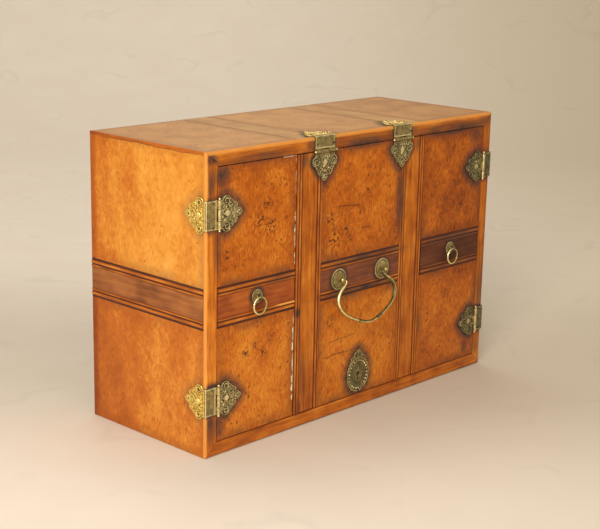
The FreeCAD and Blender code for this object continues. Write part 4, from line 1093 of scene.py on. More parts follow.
@dataclass
class Sheet:
    """One panel, strip or moulding laid on a face.

    Attributes:
        face: The face it lies on.
        box: Its solid's lowest and highest corners in mm.
        cut: How it is cut.
        number: Its number, which shifts its figure.
        outer: For a mitred strip, whether its outer side is at the low end across its length.
        hole: A rectangle left open, as along and up from and to.
        worn: Gives the share worn away at a place along and up, and any painted highlight there.
        arris: For a mitred strip, the share of painted highlight along its outer edge, how far in and its
            full part.
    """

    face: Face
    box: tuple[Vector, Vector]
    cut: Cut
    number: int
    outer: bool = True
    hole: Quad | None = None
    worn: Callable[[float, float], float] = unworn
    arris: Triple = (0.0, 1.9, 0.7)

    def kept(self, one: Pair, other: Pair) -> bool:
        """Says whether a cell lies outside the hole.

        Args:
            one: A corner of the cell, along and up.
            other: The corner across from it.

        Returns:
            False where its middle is in the hole.
        """
        if self.hole is None:
            return True
        u, v = ((a + b) / 2 for a, b in zip(one, other))
        return not (self.hole[0] < u < self.hole[1] and self.hole[2] < v < self.hole[3])

    def lay(self, shape: Shape) -> None:
        """Adds the sheet to a shape.

        Args:
            shape: The shape that takes it.
        """
        ends = [self.face.flat(corner) for corner in self.box]
        (u0, u1), (v0, v1), (base, top) = (sorted(pair) for pair in zip(*ends))
        cut = self.cut
        up = cut.grain is Grain.UP or v1 - v0 > u1 - u0
        length, width = (v1 - v0, u1 - u0) if up else (u1 - u0, v1 - v0)
        near = [(u, v, r) for u, v, r in STAINS[self.face]
                if u0 - r - STAIN_REACH < u < u1 + r + STAIN_REACH
                and v0 - r - STAIN_REACH < v < v1 + r + STAIN_REACH]
        places = stations(length, cut.step, cut.ease[0], cut.ease[1])
        if cut.crown:
            rows = [width * (1 - math.cos(math.pi * k / 10)) / 2 for k in range(11)]
        else:
            rows = stations(width, cut.step, cut.ease[2], cut.ease[3])
        share, reach, full = self.arris
        upper, lower, flat = [], [], []
        for b in rows:
            inset = b if cut.mitred else 0.0
            across = b if self.outer else width - b
            crown_drop = cut.crown * (1 - ball(2 * b / width - 1, 1.0))
            for grid in (upper, lower, flat):
                grid.append([])
            for a in places:
                along = inset + a * (length - 2 * inset) / length
                u, v = (u0 + across, v0 + along) if up else (u0 + along, v0 + across)
                gaps = (a, length - a, b, width - b)
                drop = crown_drop + sum(
                    ease - math.sqrt(max(0.0, ease * ease - (ease - gap) ** 2))
                    for ease, gap in zip(cut.ease, gaps) if gap < ease)
                wave = noise.noise(Vector((u * WAVES_PER_MM, v * WAVES_PER_MM, self.number * NEXT_WAVE)))
                height = max(base + LEAST_THICK, top - cut.sink - drop - cut.wave * (0.5 + 0.5 * wave))
                stain = min((math.hypot(u - x, v - y) - r for x, y, r in near), default=FAR)
                # The arris share paints a highlight along a strip's outer edge, in the bare wood's colour.
                mark = Mark((along + NEXT_PLACE * self.number, across, self.number * NEXT_FIGURE), min(gaps),
                            stain, wear=self.worn(u, v) + share * rise(reach, full, b),
                            dirt=soiled_and_shaded(self.face, u, v))
                upper[-1].append((self.face.place(u, v, height), mark))
                lower[-1].append((self.face.place(u, v, base), mark))
                flat[-1].append((u, v))
        shape.slab(upper, lower, lambda i, j: self.kept(flat[i][j], flat[i + 1][j + 1]))


def lay_all(node: str, face: Face, cut: Cut, body: str, finish: Finish, number: int, **extra: object) -> None:
    """Lays one sheet for each solid of a node, as one piece.

    Args:
        node: The CAD node.
        face: The face it lies on.
        cut: How its sheets are cut.
        body: The body it rides on.
        finish: Its finish.
        number: Number of its first sheet.
        **extra: Further fields of each sheet.
    """
    shape = Shape()
    for place, box in enumerate(solids(node)):
        Sheet(face, box, cut, number + place, **extra).lay(shape)
    shape.piece(f"{node}_laid", body, finish, node)


@dataclass
class Outline:
    """A cast plate's outline: the union of discs, and of boxes, round a middle.

    Attributes:
        middle: The point that every part of the outline is seen from.
        discs: Place and radius of each disc.
        boxes: Lowest and highest corner of each box.
    """

    middle: Pair
    discs: Sequence[Triple]
    boxes: Sequence[Quad] = ()

    def reach(self, turn: float) -> float:
        """Finds how far the outline lies from the middle.

        Args:
            turn: Direction in radians.

        Returns:
            The distance in mm.
        """
        mx, my = self.middle
        dx, dy = math.cos(turn), math.sin(turn)
        far = 0.5
        for x, y, r in self.discs:
            along = (x - mx) * dx + (y - my) * dy
            square = r * r - ((x - mx) ** 2 + (y - my) ** 2 - along * along)
            if square > 0:
                far = max(far, along + math.sqrt(square))
        for x0, y0, x1, y1 in self.boxes:
            enter, leave = -FAR, FAR
            for low, high, start, step in ((x0, x1, mx, dx), (y0, y1, my, dy)):
                if abs(step) < 1e-9:
                    if not low <= start <= high:
                        leave = -FAR
                    continue
                near, away = sorted(((low - start) / step, (high - start) / step))
                enter, leave = max(enter, near), min(leave, away)
            if enter < leave:
                far = max(far, leave)
        return far

    def depth(self, x: float, y: float) -> float:
        """Finds how far inside the outline a point lies.

        Args:
            x: Place along.
            y: Place across.

        Returns:
            The distance to the edge in mm.
        """
        inside = [r - math.hypot(x - a, y - b) for a, b, r in self.discs]
        inside += [min(x - x0, x1 - x, y - y0, y1 - y) for x0, y0, x1, y1 in self.boxes]
        return max(inside)


def cast(shape: Shape, place: Callable[[float, float, float], Vector], outline: Outline,
         height: Callable[[float, float, float], float], ground: float, crest: float,
         hole: Callable[[float], float] = lambda turn: POINTED, spokes: int = 168, rings: int = 34,
         polish_and_painted_light: float = 0.0, painted_highlight: float = 0.0) -> None:
    """Adds a cast plate with its relief.

    Args:
        shape: The shape that takes it.
        place: Gives the point in the frame at a place on the plate and a height.
        outline: The plate's outline.
        height: Gives the relief's height at a place along and across and a distance from the edge.
        ground: Height of the ground.
        crest: Height of the ridges.
        hole: Distance from the middle to the edge of the hole in a direction.
        spokes: Points round the plate.
        rings: Points from the middle to the edge.
        polish_and_painted_light: Share of brightness added: painted light on a hinge plate's lit side, less
            any painted shade.
        painted_highlight: Share of the casting painted golden as lit brass.
    """
    turns = [2 * math.pi * k / spokes for k in range(spokes)]
    top, base = [], []
    for ring in range(rings + 1):
        # The rings lie closer together towards the edge
        share = 1 - (1 - ring / rings) ** 1.25
        upper, lower = [], []
        for turn in turns:
            inner = hole(turn)
            reach = inner + (outline.reach(turn) - inner) * share
            x = outline.middle[0] + reach * math.cos(turn)
            y = outline.middle[1] + reach * math.sin(turn)
            level = height(x, y, max(0.0, outline.depth(x, y)))
            relief = polish_and_painted_light + clamp((level - ground) / (crest - ground))
            mark = Mark(relief=relief, wear=painted_highlight)
            upper.append((place(x, y, level), mark))
            lower.append((place(x, y, 0.0), mark))
        top.append(upper + upper[:1])
        base.append(lower + lower[:1])
    shape.slab(top, base)


@dataclass
class Hinge:
    """A cast hinge: a leaf on a door, a plate bent round the case's edge, three knuckles and a pin.

    Its own frame has X towards the moving leaf, Y into the wood and Z along the pin. Sizes are in mm, and
    places named with at are shares of a casting's run from root to tip.

    Attributes:
        axis: A point on its axis, halfway along.
        turn: Turn about Y from its own frame, in degrees.
        fronts: The face that its leaf lies on and the one that its plate bends on to.
        stand: How far out the axis lies from the face.
        clear: How far from the axis the leaf and the plate start.
        corner: How far from the axis the plate is folded.
        spread: Half the width over the lobes.
        rim: Height and width of the rim.
        scroll: Height and pitch of the scrolls in the lobes.
        vein: Height of the veins, with their waves per mm across and along.
        boss: Height and radius of the boss near the root.
        pearl: Height and radius of the pearl near the tip.
        pitting: Height and waves per mm of the unevenness from casting.
        strip: Height of the plate's front part, of its rims and of its ridge beside the knuckles.
        polish_and_painted_light: Brightness added on the plate's side, as painted light where it faces the
            lamps.
        painted_highlight: Share of the plate's side painted golden as lit brass.
        painted_shade: Brightness taken off all over as painted shade, for hinges on the shaded side.
        bridge: Radius of the stain under the plate's front part.
    """

    axis: Triple
    turn: float
    fronts: tuple[Face, Face]
    stand: float = 2.0
    thick: float = 1.5
    clear: float = 2.1
    length: float = 26.0
    leaf_reach: float = 28.5
    corner_reach: float = 26.0
    corner: float = 13.35
    corner_root: float = 0.6
    spread: float = 16.4
    lobe: float = 5.4
    scallop: float = 4.3
    tip: float = 1.8
    lobe_at: float = 0.28
    scroll_at: float = 0.29
    boss_at: float = 0.33
    middle_at: float = 0.34
    heart_at: float = 0.38
    shoulder_at: float = 0.46
    scallop_at: float = 0.62
    pearl_at: float = 0.80
    knuckle: float = 1.6
    middle_knuckle: float = 10.5
    knuckle_gap: float = 0.25
    ground: float = 0.8
    rim: Pair = (0.5, 1.6)
    scroll: Pair = (0.5, 2.4)
    vein: Triple = (0.6, 0.26, 0.20)
    boss: Pair = (0.6, 2.6)
    pearl: Pair = (0.55, 2.3)
    pitting: Pair = (0.22, 0.9)
    strip: Triple = (0.85, 0.22, 0.35)
    polish_and_painted_light: float = 0.2
    painted_highlight: float = 0.85
    painted_shade: float = 0.0
    knuckle_shine: float = 0.75
    bridge: float = 4.5
    place: Matrix = field(init=False)

    def __post_init__(self) -> None:
        """Works out the hinge's place."""
        self.place = turned_at(self.axis, self.turn, "Y")

    def outline(self, start: float, reach: float) -> Outline:
        """Gives the lobed outline of the leaf or of the plate's side.

        Args:
            start: Where it starts from the fold or the knuckle.
            reach: Where its tip ends.

        Returns:
            The outline, along the reach and across it.
        """
        run = reach - start
        wide = self.spread - self.lobe
        pairs = ((self.lobe_at, wide, self.lobe), (self.scallop_at, wide - self.scallop - 0.9, self.scallop),
                 (self.shoulder_at, wide - 2.6, self.scallop))
        discs = [(start + run * at, side * off, r) for at, off, r in pairs for side in (-1, 1)]
        discs += [(start + run * at, 0.0, r)
                  for at, r in ((self.heart_at, wide - 1.3), (self.pearl_at, self.scallop))]
        discs.append((reach - self.tip, 0.0, self.tip))
        root = (start, -self.length / 2, start + run * self.lobe_at, self.length / 2)
        return Outline((start + run * self.middle_at, 0.0), discs, [root])

    def height(self, start: float, reach: float, p: float, q: float, depth: float) -> float:
        """Gives the height of the rim, scrolls, veins and bosses.

        Args:
            start: Where the leaf or the plate's side starts.
            reach: Where its tip ends.
            p: Place along it.
            q: Place across it.
            depth: Distance from its edge.

        Returns:
            The height at the place.
        """
        if depth <= POINTED:
            return self.ground * 0.7
        run, along, aside = reach - start, p - start, abs(q)
        off = aside - (self.spread - self.lobe)
        rise_of, wide = self.rim
        level = self.ground + rise_of * hump(depth / wide) ** 2
        curl = math.hypot(along - run * self.scroll_at, off)
        if curl < self.lobe - 1.0:
            tall, pitch = self.scroll
            wind = math.cos(2 * math.pi * curl / pitch - math.atan2(along - run * self.scroll_at, off))
            level += tall * clamp(0.6 + wind) * rise(self.lobe - 1.0, self.lobe - 2.0, curl)
        else:
            tall, across, onward = self.vein
            vein = math.cos(2 * math.pi * (across * aside - onward * along))
            tangle = 1 - 4.0 * abs(noise.noise(Vector((p * 0.5, aside * 0.5, self.turn + 3.1))))
            level += tall * rise(1.0, 2.0, depth) * clamp(max(0.9 * (vein - 0.2), tangle, 0.5 - aside))
        for at, (tall, radius) in ((self.boss_at, self.boss), (self.pearl_at, self.pearl)):
            level += tall * ball(math.hypot(along - run * at, q), radius)
        tall, waves = self.pitting
        level += tall * noise.noise(Vector((p * waves, q * waves, 3.1)))
        return min(level, self.thick)

    def stain(self) -> None:
        """Records where the hinge stains the wood under it."""
        leaf, side = self.fronts
        spots = [(leaf, (p, self.stand, q), r)
                 for p, q, r in self.outline(self.clear, self.leaf_reach).discs]
        spots += [(side, (-self.corner, self.stand + p, q), r)
                  for p, q, r in self.outline(0.0, self.corner_reach).discs]
        spots += [(leaf, (p, self.stand, q), self.bridge)
                  for q in (-9.0, -3.0, 3.0, 9.0) for p in (-4.0, -9.0)]
        for face, spot, radius in spots:
            u, v, _ = face.flat(self.place @ Vector(spot))
            STAINS[face].append((u, v, radius))

    def barrel(self, shape: Shape, low: float, high: float, side: int) -> None:
        """Adds a knuckle, with a turned line near each end, and the tongue that ties it to its casting.

        Args:
            shape: The shape that takes it.
            low: Where it starts along the pin.
            high: Where it ends.
            side: 1 towards the leaf, -1 towards the plate.
        """
        r, shine = self.knuckle, self.knuckle_shine
        steps = ((POINTED, 0.0, 0.3), (r - 0.25, 0.0, 0.3), (r, 0.3, shine), (r, 1.0, shine),
                 (r - 0.12, 1.3, 0.3), (r, 1.6, shine))
        ends = [(radius, low + h, relief) for radius, h, relief in steps]
        ends += [(radius, high - h, relief) for radius, h, relief in reversed(steps)]
        shape.turned(self.place, ends)
        shape.slab(*([[(self.place @ Vector((side * p, y, z)), Mark(relief=0.5)) for z in (low, high)]
                      for p in (0.2, self.clear + 0.5)]
                     for y in (self.stand - self.thick + 0.05, self.stand - 0.4)))

    def leaf(self, shape: Shape) -> None:
        """Adds the moving leaf with its knuckle.

        Args:
            shape: The shape that takes it.
        """
        ends = (self.clear, self.leaf_reach)
        # Shaded hinges take painted shade on their leaves.
        cast(shape, lambda p, q, h: self.place @ Vector((p, self.stand - h, q)), self.outline(*ends),
             partial(self.height, *ends), self.ground, self.thick, polish_and_painted_light=-self.painted_shade)
        half = self.middle_knuckle / 2 - self.knuckle_gap / 2
        self.barrel(shape, -half, half, 1)

    def plate(self, shape: Shape) -> None:
        """Adds the plate bent round the case's edge, with its two knuckles.

        Args:
            shape: The shape that takes it.
        """
        ends = (self.corner_root, self.corner_reach)
        # The plate's side is painted brighter and golden, as lit brass, less any painted shade.
        cast(shape, lambda p, q, h: self.place @ Vector((-self.corner - h, self.stand + p, q)),
             self.outline(*ends), partial(self.height, *ends), self.ground, self.thick,
             polish_and_painted_light=self.polish_and_painted_light - self.painted_shade, painted_highlight=self.painted_highlight)
        half = self.length / 2
        folds = [math.radians(t) for t in range(15, 91, 15)]
        path = [(-self.clear - k, 0.0, 0.0) for k in (0.0, 0.5, 1.1, 1.8)]
        path += [(-self.corner + k, 0.0, 0.0) for k in (2.0, 1.0, 0.0)]
        path += [(-self.corner - 0.01 * k, 0.01 * k, t) for k, t in enumerate(folds)]
        path.append((-self.corner - 0.06, 3.0, folds[-1]))
        insets = (0.0, 0.3, 0.8, 1.5, 2.1)
        across = [k - half for k in insets] + [0.0] + [half - k for k in reversed(insets)]
        flat, rim_tall, ridge_tall = self.strip
        rows, under = [], []
        for x, y, t in path:
            out = Vector((-math.sin(t), -math.cos(t), 0.0))
            row, low = [], []
            for z in across:
                rim = half - abs(z)
                ridge, drop = rim_tall * hump(rim / 1.8) ** 2, 0.0
                if t == 0.0:
                    ridge = max(ridge, ridge_tall * hump((-self.clear - x) / 1.8) ** 2)
                    drop = 0.25 * (1 - clamp(rim / 0.5))
                level = min(self.thick, flat + ridge) - drop
                point = Vector((x, self.stand + y, z))
                # The fold takes a painted highlight, brightest halfway round the bend; shaded hinges take
                # painted shade.
                relief = (level - 0.62) / 0.5 + 0.5 * math.sin(2 * t) ** 2 - self.painted_shade
                row.append((self.place @ (point + out * level), Mark(relief=relief)))
                low.append((self.place @ point, Mark(relief=0.2)))
            rows.append(row)
            under.append(low)
        shape.slab(rows, under)
        start = self.middle_knuckle / 2 + self.knuckle_gap / 2
        for low, high in ((-half, -start), (start, half)):
            self.barrel(shape, low, high, -1)

    def pin(self, shape: Shape) -> None:
        """Adds the pin, with a small ball at each end.

        Args:
            shape: The shape that takes it.
        """
        half = self.length / 2
        knob = [(max(1.15 * math.cos(t), POINTED), half + 0.95 + 0.95 * math.sin(t), 1.0)
                for t in (math.radians(d) for d in range(-60, 91, 15))]
        foot = [(r, -h, relief) for r, h, relief in reversed(knob)]
        shape.turned(self.place, foot + knob, sides=16)


@dataclass
class HingePair:
    """The two hinges of a door or of the flap.

    Attributes:
        word: The start of their nodes' names.
        leaves: The node of the moving leaves.
        body: The body that the leaves ride on.
        hinges: The two hinges.
    """

    word: str
    leaves: str
    body: str
    hinges: Sequence[Hinge]

    def build(self) -> None:
        """Makes the leaves and the bent plates."""
        leaves, plates = Shape(), Shape()
        for hinge in self.hinges:
            hinge.leaf(leaves)
            hinge.plate(plates)
        leaves.piece(f"{self.leaves}_cast", self.body, BRASS, self.leaves)
        node = f"{self.word}_corner_plates"
        plates.piece(f"{node}_cast", "carcase", BRASS, node)


@dataclass
class Escutcheon:
    """The cast keyhole plate: an oval with a rope rim and pearls, under a crest. Sizes are in mm.

    Attributes:
        middle: The oval's middle, across and up.
        half: Half the oval's width and height.
        crest: Place and radius of the topmost disc.
        lobes: Place and radius of the two discs under it, right and left.
        pearl: Height and radius of a pearl, and its distance from the rim.
        rope: Height and width of the rope.
        field_at: Where the field inside the pearls starts from the rim.
        fan: Height of the crest's petals, the level they spread from, and their number round a turn.
        bright_at: The height that is rubbed bright.
    """

    middle: Pair = (0.0, 33.3)
    half: Pair = (16.0, 17.5)
    keyhole: Pair = (0.0, 34.0)
    key_radius: float = 2.5
    slot_half: float = 1.1
    slot_drop: float = 7.0
    crest: Triple = (0.0, 54.6, 4.2)
    lobes: Triple = (5.0, 46.6, 6.4)
    thick: float = 2.0
    pearls: int = 25
    pearl: Triple = (0.8, 1.1, 3.2)
    strands: int = 46
    rope: Pair = (0.75, 1.5)
    field_at: float = 5.0
    fan: tuple[float, float, int] = (0.5, 45.0, 9)
    ground: float = 0.75
    edge: float = 0.5
    bright_at: float = 1.75

    def discs(self) -> list[Triple]:
        """Gives the outline.

        Returns:
            The discs of the oval and of its crest.
        """
        a, b = self.half
        oval = [(0.0, self.middle[1] + (b - a) * share, a) for share in (-1.0, -0.5, 0.0, 0.5, 1.0)]
        x, z, r = self.lobes
        neck = [(0.0, z + 4.0, 6.6), (-1.6, z + 6.0, 4.8), (1.6, z + 6.0, 4.8)]
        return [*oval, self.crest, (-x, z, r), (x, z, r), *neck]

    def height(self, x: float, z: float, depth: float) -> float:
        """Gives the relief's height.

        Args:
            x: Place across.
            z: Place up.
            depth: Distance from the edge.

        Returns:
            The height at the place.
        """
        if depth <= POINTED:
            return self.edge
        a, b = self.half
        across, up = x / a, (z - self.middle[1]) / b
        turn = math.atan2(up, across)
        inside = (1 - math.hypot(across, up)) * a
        level = self.ground
        if inside >= 0.0:
            tall, wide = self.rope
            worn = noise.noise(Vector((x * 0.21, z * 0.21, 4.3)))
            level += tall * hump(inside / wide) * (0.75 + 0.2 * math.cos(self.strands * turn) + 0.35 * worn)
            tall, radius, inset = self.pearl
            step = 2 * math.pi / self.pearls
            nearest = round(turn / step)
            off = (turn / step - nearest) * step * a * 0.8
            chance = noise.noise(Vector((nearest * 2.37, 0.0, 5.1)))
            level += (tall + 0.6 * chance) * ball(math.hypot(off, inside - inset), radius)
            level += 0.22 * hump((inside - self.field_at) / 1.2) + 0.18 * rise(self.field_at, 12.0, inside)
        else:
            tall, root, petals = self.fan
            petal = clamp(math.cos(petals * math.atan2(x, z - root)))
            level += tall * rise(0.7, 1.6, depth) * petal + 0.4 * hump(depth / 1.4)
        ring = math.hypot(x - self.keyhole[0], z - self.keyhole[1]) - self.key_radius
        return min(self.thick, level + 0.3 * hump(ring / 1.2))

    def opening(self, turn: float) -> float:
        """Gives the distance from the keyhole's middle to its edge in a direction."""
        slot = (-self.slot_half, -self.slot_drop, self.slot_half, 0.0)
        return Outline((0.0, 0.0), [(0.0, 0.0, self.key_radius)], [slot]).reach(turn)

    def stain(self) -> None:
        """Records where the plate stains the wood under it."""
        STAINS[Face.FRONT].extend(self.discs())

    def build(self, front: float) -> None:
        """Makes the plate.

        Args:
            front: The flap's face, out from the middle of the case, in mm.
        """
        shape = Shape()
        cast(shape, lambda x, z, h: Face.FRONT.place(x, z, front + h), Outline(self.keyhole, self.discs()),
             self.height, self.edge, self.bright_at, self.opening, spokes=264, rings=54)
        shape.piece("escutcheon_cast", "centre_flap", BRASS, "escutcheon")


def domed(shape: Shape, spot: Triple, radius: float, rim: float, dome: float) -> None:
    """Adds a round plate with a bright rim, a sunk ring and a low dome, facing the front.

    Args:
        shape: The shape that takes it.
        spot: The middle of its back, in mm.
        radius: Its radius.
        rim: Height of its rim.
        dome: Height of its dome.
    """
    place = turned_at(spot, 90, "X")
    inner, sunk = radius * 0.84, rim * 0.8
    steps = [(POINTED, 0.0, 0.3), (radius, 0.0, 0.3), (radius, rim * 0.7, 0.7), (radius * 0.965, rim, 0.8),
             (radius * 0.9, rim * 0.95, 0.5), (inner, sunk, 0.25)]
    for share in (k / 8 for k in range(1, 9)):
        swell = math.sin(share * math.pi / 2)
        steps.append((inner * (1 - share) + POINTED, sunk + (dome - sunk) * swell, 0.5))
    shape.turned(place, steps, sides=48)


@dataclass
class BailHandle:
    """The flap's handle: two domed rosettes and a swan-necked bail hung from two posts. Sizes are in mm.

    Attributes:
        pivot: The bail's axis, out and up.
        lean: How far the bail leans out at rest, in degrees.
        half_line: Points of the bail's right half, across and up from its axis.
        thin: The wire's radius at its ends.
        shoulder: The wire's radius at its bends.
        thick: The wire's radius along its foot.
        spaces: Steps from one point of the line to the next.
    """

    post_x: float = 31.25
    pivot: Pair = (-83.9, 134.6)
    lean: float = 12.0
    half_line: tuple[Pair, ...] = (
        (34.3, 0.0), (29.5, 0.0), (26.4, -1.5), (28.3, -5.0), (34.0, -9.0), (38.9, -13.8), (40.6, -19.6),
        (38.9, -26.2), (33.4, -32.3), (26.4, -36.6), (18.6, -40.2), (9.5, -43.6), (0.0, -44.9))
    thin: float = 1.1
    shoulder: float = 1.8
    thick: float = 1.3
    collar_x: float = 13.0
    rosette: float = 10.2
    rim: float = 0.6
    dome: float = 2.2
    spaces: int = 12

    def stain(self) -> None:
        """Records where the rosettes stain the wood under them."""
        STAINS[Face.FRONT].extend((side * self.post_x, self.pivot[1], self.rosette) for side in (-1, 1))

    def path(self) -> list[Vector]:
        """Draws a smooth curve through the bail's points.

        Returns:
            The bail's line from its right end to its left, across and up from its axis.
        """
        half = [Vector((x, z, 0.0)) for x, z in self.half_line]
        mirrored = [Vector((-point.x, point.y, 0.0)) for point in reversed(half[:-1])]
        knots = [half[0], *half, *mirrored, mirrored[-1]]
        line = []
        for before, start, end, after in zip(knots, knots[1:], knots[2:], knots[3:]):
            bend = 2 * before - 5 * start + 4 * end - after
            twist = 3 * start - before - 3 * end + after
            for t in (k / self.spaces for k in range(self.spaces)):
                line.append(0.5 * (2 * start + t * (end - before) + t * t * bend + t ** 3 * twist))
        return line + [mirrored[-1]]

    def build(self, front: float) -> None:
        """Makes the rosettes and the bail.

        Args:
            front: The flap's face, out from the middle of the case, in mm.
        """
        roses = Shape()
        for side in (-1, 1):
            domed(roses, (side * self.post_x, -front, self.pivot[1]), self.rosette, self.rim, self.dome)
        roses.piece("handle_rosettes_domed", "centre_flap", BRASS, "handle_rosettes")
        bail = Shape()
        line = self.path()
        turn = turned_at((0.0, *self.pivot), 90 - self.lean, "X")
        # The wire swells from its ends to its bends, thins along its foot, and has two leafed collars
        radii, polish_and_painted_light = [], []
        for point in line:
            radius = self.thin + (self.shoulder - self.thin) * rise(-1.0, -9.0, point.y)
            radius -= (self.shoulder - self.thick) * rise(-20.0, -38.0, point.y)
            collar = abs(abs(point.x) - self.collar_x) if point.y < -30 else FAR
            leaf = 0.7 + 0.3 * math.cos(2 * math.pi * collar / 2.0)
            radii.append(radius + 0.5 * leaf * rise(4.2, 2.8, collar))
            polish_and_painted_light.append((leaf - 1.0) * rise(4.6, 3.0, collar))
        bail.wire(turn, line, radii, outer=-1, polish_and_painted_light=polish_and_painted_light)
        bail.piece("bail_handle_drawn", "bail", PAINTED_HIGHLIGHT_WIRE, "bail_handle")


@dataclass
class RingPull:
    """A door's drop ring, bent from wire, hung in an eye on a small domed plate. Sizes are in mm.

    Attributes:
        word: Left or right.
        side: -1 for the left door, 1 for the right.
        middle: The ring's middle: out from the case's middle, its depth and its level.
        level: The eye's level.
        plate: Radius of the plate, and the heights of its rim and dome.
        shank: Radius of the eye's shank.
        leg: Length and thickness of each split end of the shank, bent over behind the board.
    """

    word: str
    side: int
    middle: Triple = (138.7, -82.45, 130.0)
    radius: float = 7.6
    thick: float = 0.95
    level: float = 138.0
    plate: Triple = (6.3, 0.4, 0.8)
    eye_radius: float = 2.3
    eye_wire: float = 0.75
    shank: float = 1.1
    leg: Pair = (6.0, 1.0)

    def stain(self) -> None:
        """Records where the plate stains the wood under it."""
        STAINS[Face.FRONT].append((self.side * self.middle[0], self.level, self.plate[0]))

    def mount(self, front: float) -> None:
        """Makes the plate with its eye, shank and bent legs.

        Args:
            front: The door's face, out from the middle of the case, in mm.
        """
        x, y = self.side * self.middle[0], self.middle[1]
        back = span(f"{self.word}_door_board")[1].y
        shape = Shape()
        domed(shape, (x, -front, self.level), *self.plate)
        loop = circle(self.eye_radius, 40)
        place = turned_at((x, y, self.level), 90, "Y")
        shape.wire(place, loop, [self.eye_wire] * len(loop), closed=True)
        start = y + self.eye_radius
        place = turned_at((x, start, self.level), -90, "X")
        steps = ((POINTED, 0.0), (self.shank * 0.8, 0.0), (self.shank, 0.3), (self.shank, back - start),
                 (POINTED, back - start))
        shape.turned(place, [(r, h, 0.6) for r, h in steps], sides=14)
        reach, thick = self.leg
        grids = []
        for bend in (thick, 0.0):
            grids.append([])
            for h in (-1.0, -0.5, 0.0, 0.5, 1.0):
                y, z = back + bend * (1 - 0.35 * abs(h)), self.level + h * reach
                grids[-1].append([(Vector((x + w * self.shank, y, z)), Mark(relief=0.5))
                                  for w in (-1.0, -0.6, 0.6, 1.0)])
        shape.slab(*grids)
        node = f"{self.word}_ring_eye"
        shape.piece(f"{node}_bent", f"{self.word}_door", BRASS, node)

    def build(self, front: float) -> None:
        """Makes the mount, and the ring, which is worn thinner at its top.

        Args:
            front: The door's face, out from the middle of the case, in mm.
        """
        self.mount(front)
        shape = Shape()
        x, y, z = self.middle
        place = turned_at((self.side * x, y, z), 90, "X")
        line = circle(self.radius, 60)
        radii = [self.thick * (0.93 - 0.07 * point.y / self.radius) for point in line]
        shape.wire(place, line, radii, closed=True, polish_and_painted_light=[0.25] * len(line))
        node = f"{self.word}_pull_ring"
        shape.piece(f"{node}_bent", f"{self.word}_ring", PAINTED_HIGHLIGHT_WIRE, node)


@dataclass
class Case:
    """The carcase: its boards, lipping, and the veneers of its sides and top.

    Attributes:
        strips: Each lipping strip's side, finish, whether its outer side is the low one, and the painted
            highlight on its arris.
        side_depth: How far in from a side a solid still belongs to it, in mm.
        parted: Where the top's left pair of dark lines ends, in mm.
    """

    # The right strip takes the darker straight veneer and no arris highlight: painted shade, away from the
    # lamps.
    strips: tuple[tuple[str, Finish, bool, Triple], ...] = (
        ("left", LIPPING_WOOD, True, (0.65, 1.9, 0.7)), ("bottom", STRAIGHT, True, (0.1, 1.9, 0.7)),
        ("right", STRAIGHT, False, (0.0, 1.9, 0.7)), ("top", STRAIGHT, False, (0.55, 3.8, 2.2)))
    side_depth: float = 9.0
    parted: float = -80.0

    def build(self) -> None:
        """Makes the veneers and lipping and dresses the boards."""
        for number, (side, finish, low, arris) in enumerate(self.strips, 3):
            lay_all(f"lipping_{side}", Face.FRONT, LIPPING, "carcase", finish, number, outer=low, arris=arris)
        for node, finish, cut, number in (
                ("side_burr_panels", SIDE_BURR, UPRIGHT, 11), ("side_waist_bands", SIDE_WAIST, BAND, 21),
                ("side_beads", BEADING, BEAD, 31), ("case_dark_lines", DARK_LINE, LINE, 41)):
            self.faced(node, finish, cut, number)
        lay_all("top_burr_panels", Face.TOP, UPRIGHT, "carcase", TOP_BURR, 61)
        lay_all("top_cross_bands", Face.TOP, BAND, "carcase", TOP_BAND, 71)
        BOARD_ACROSS.dress("back_board", "bottom_board", "top_board", "left_shelf", "right_shelf")
        BOARD_UPRIGHT.dress("left_side_board", "right_side_board", "left_partition", "right_partition")
        IRON.dress("back_nails")
        OLD_NAIL.dress("case_nails")
        WIRE_BRASS.dress("strike_plate")

    def faded(self, u: float, v: float) -> float:
        """Gives how far the top's dark lines have faded, least at the back of the left pair."""
        left = u < self.parted
        return 0.2 + 0.5 * rise(30.0, -40.0, v) if left else 0.75 + 0.12 * rise(0.0, 60.0, u)

    def faced(self, node: str, finish: Finish, cut: Cut, number: int) -> None:
        """Lays the sheets of a node that has solids on both sides and the top.

        Args:
            node: The CAD node.
            finish: Its finish.
            cut: How its sheets are cut.
            number: Number of its first sheet.
        """
        low = span("left_side_board")[0].x + self.side_depth
        high = span("right_side_board")[1].x - self.side_depth
        shape = Shape()
        for place, box in enumerate(solids(node)):
            face = Face.LEFT if box[1].x < low else Face.RIGHT if box[0].x > high else Face.TOP
            worn = self.faded if face is Face.TOP else unworn
            Sheet(face, box, cut, number + place, worn=worn).lay(shape)
        shape.piece(f"{node}_laid", "carcase", finish, node)


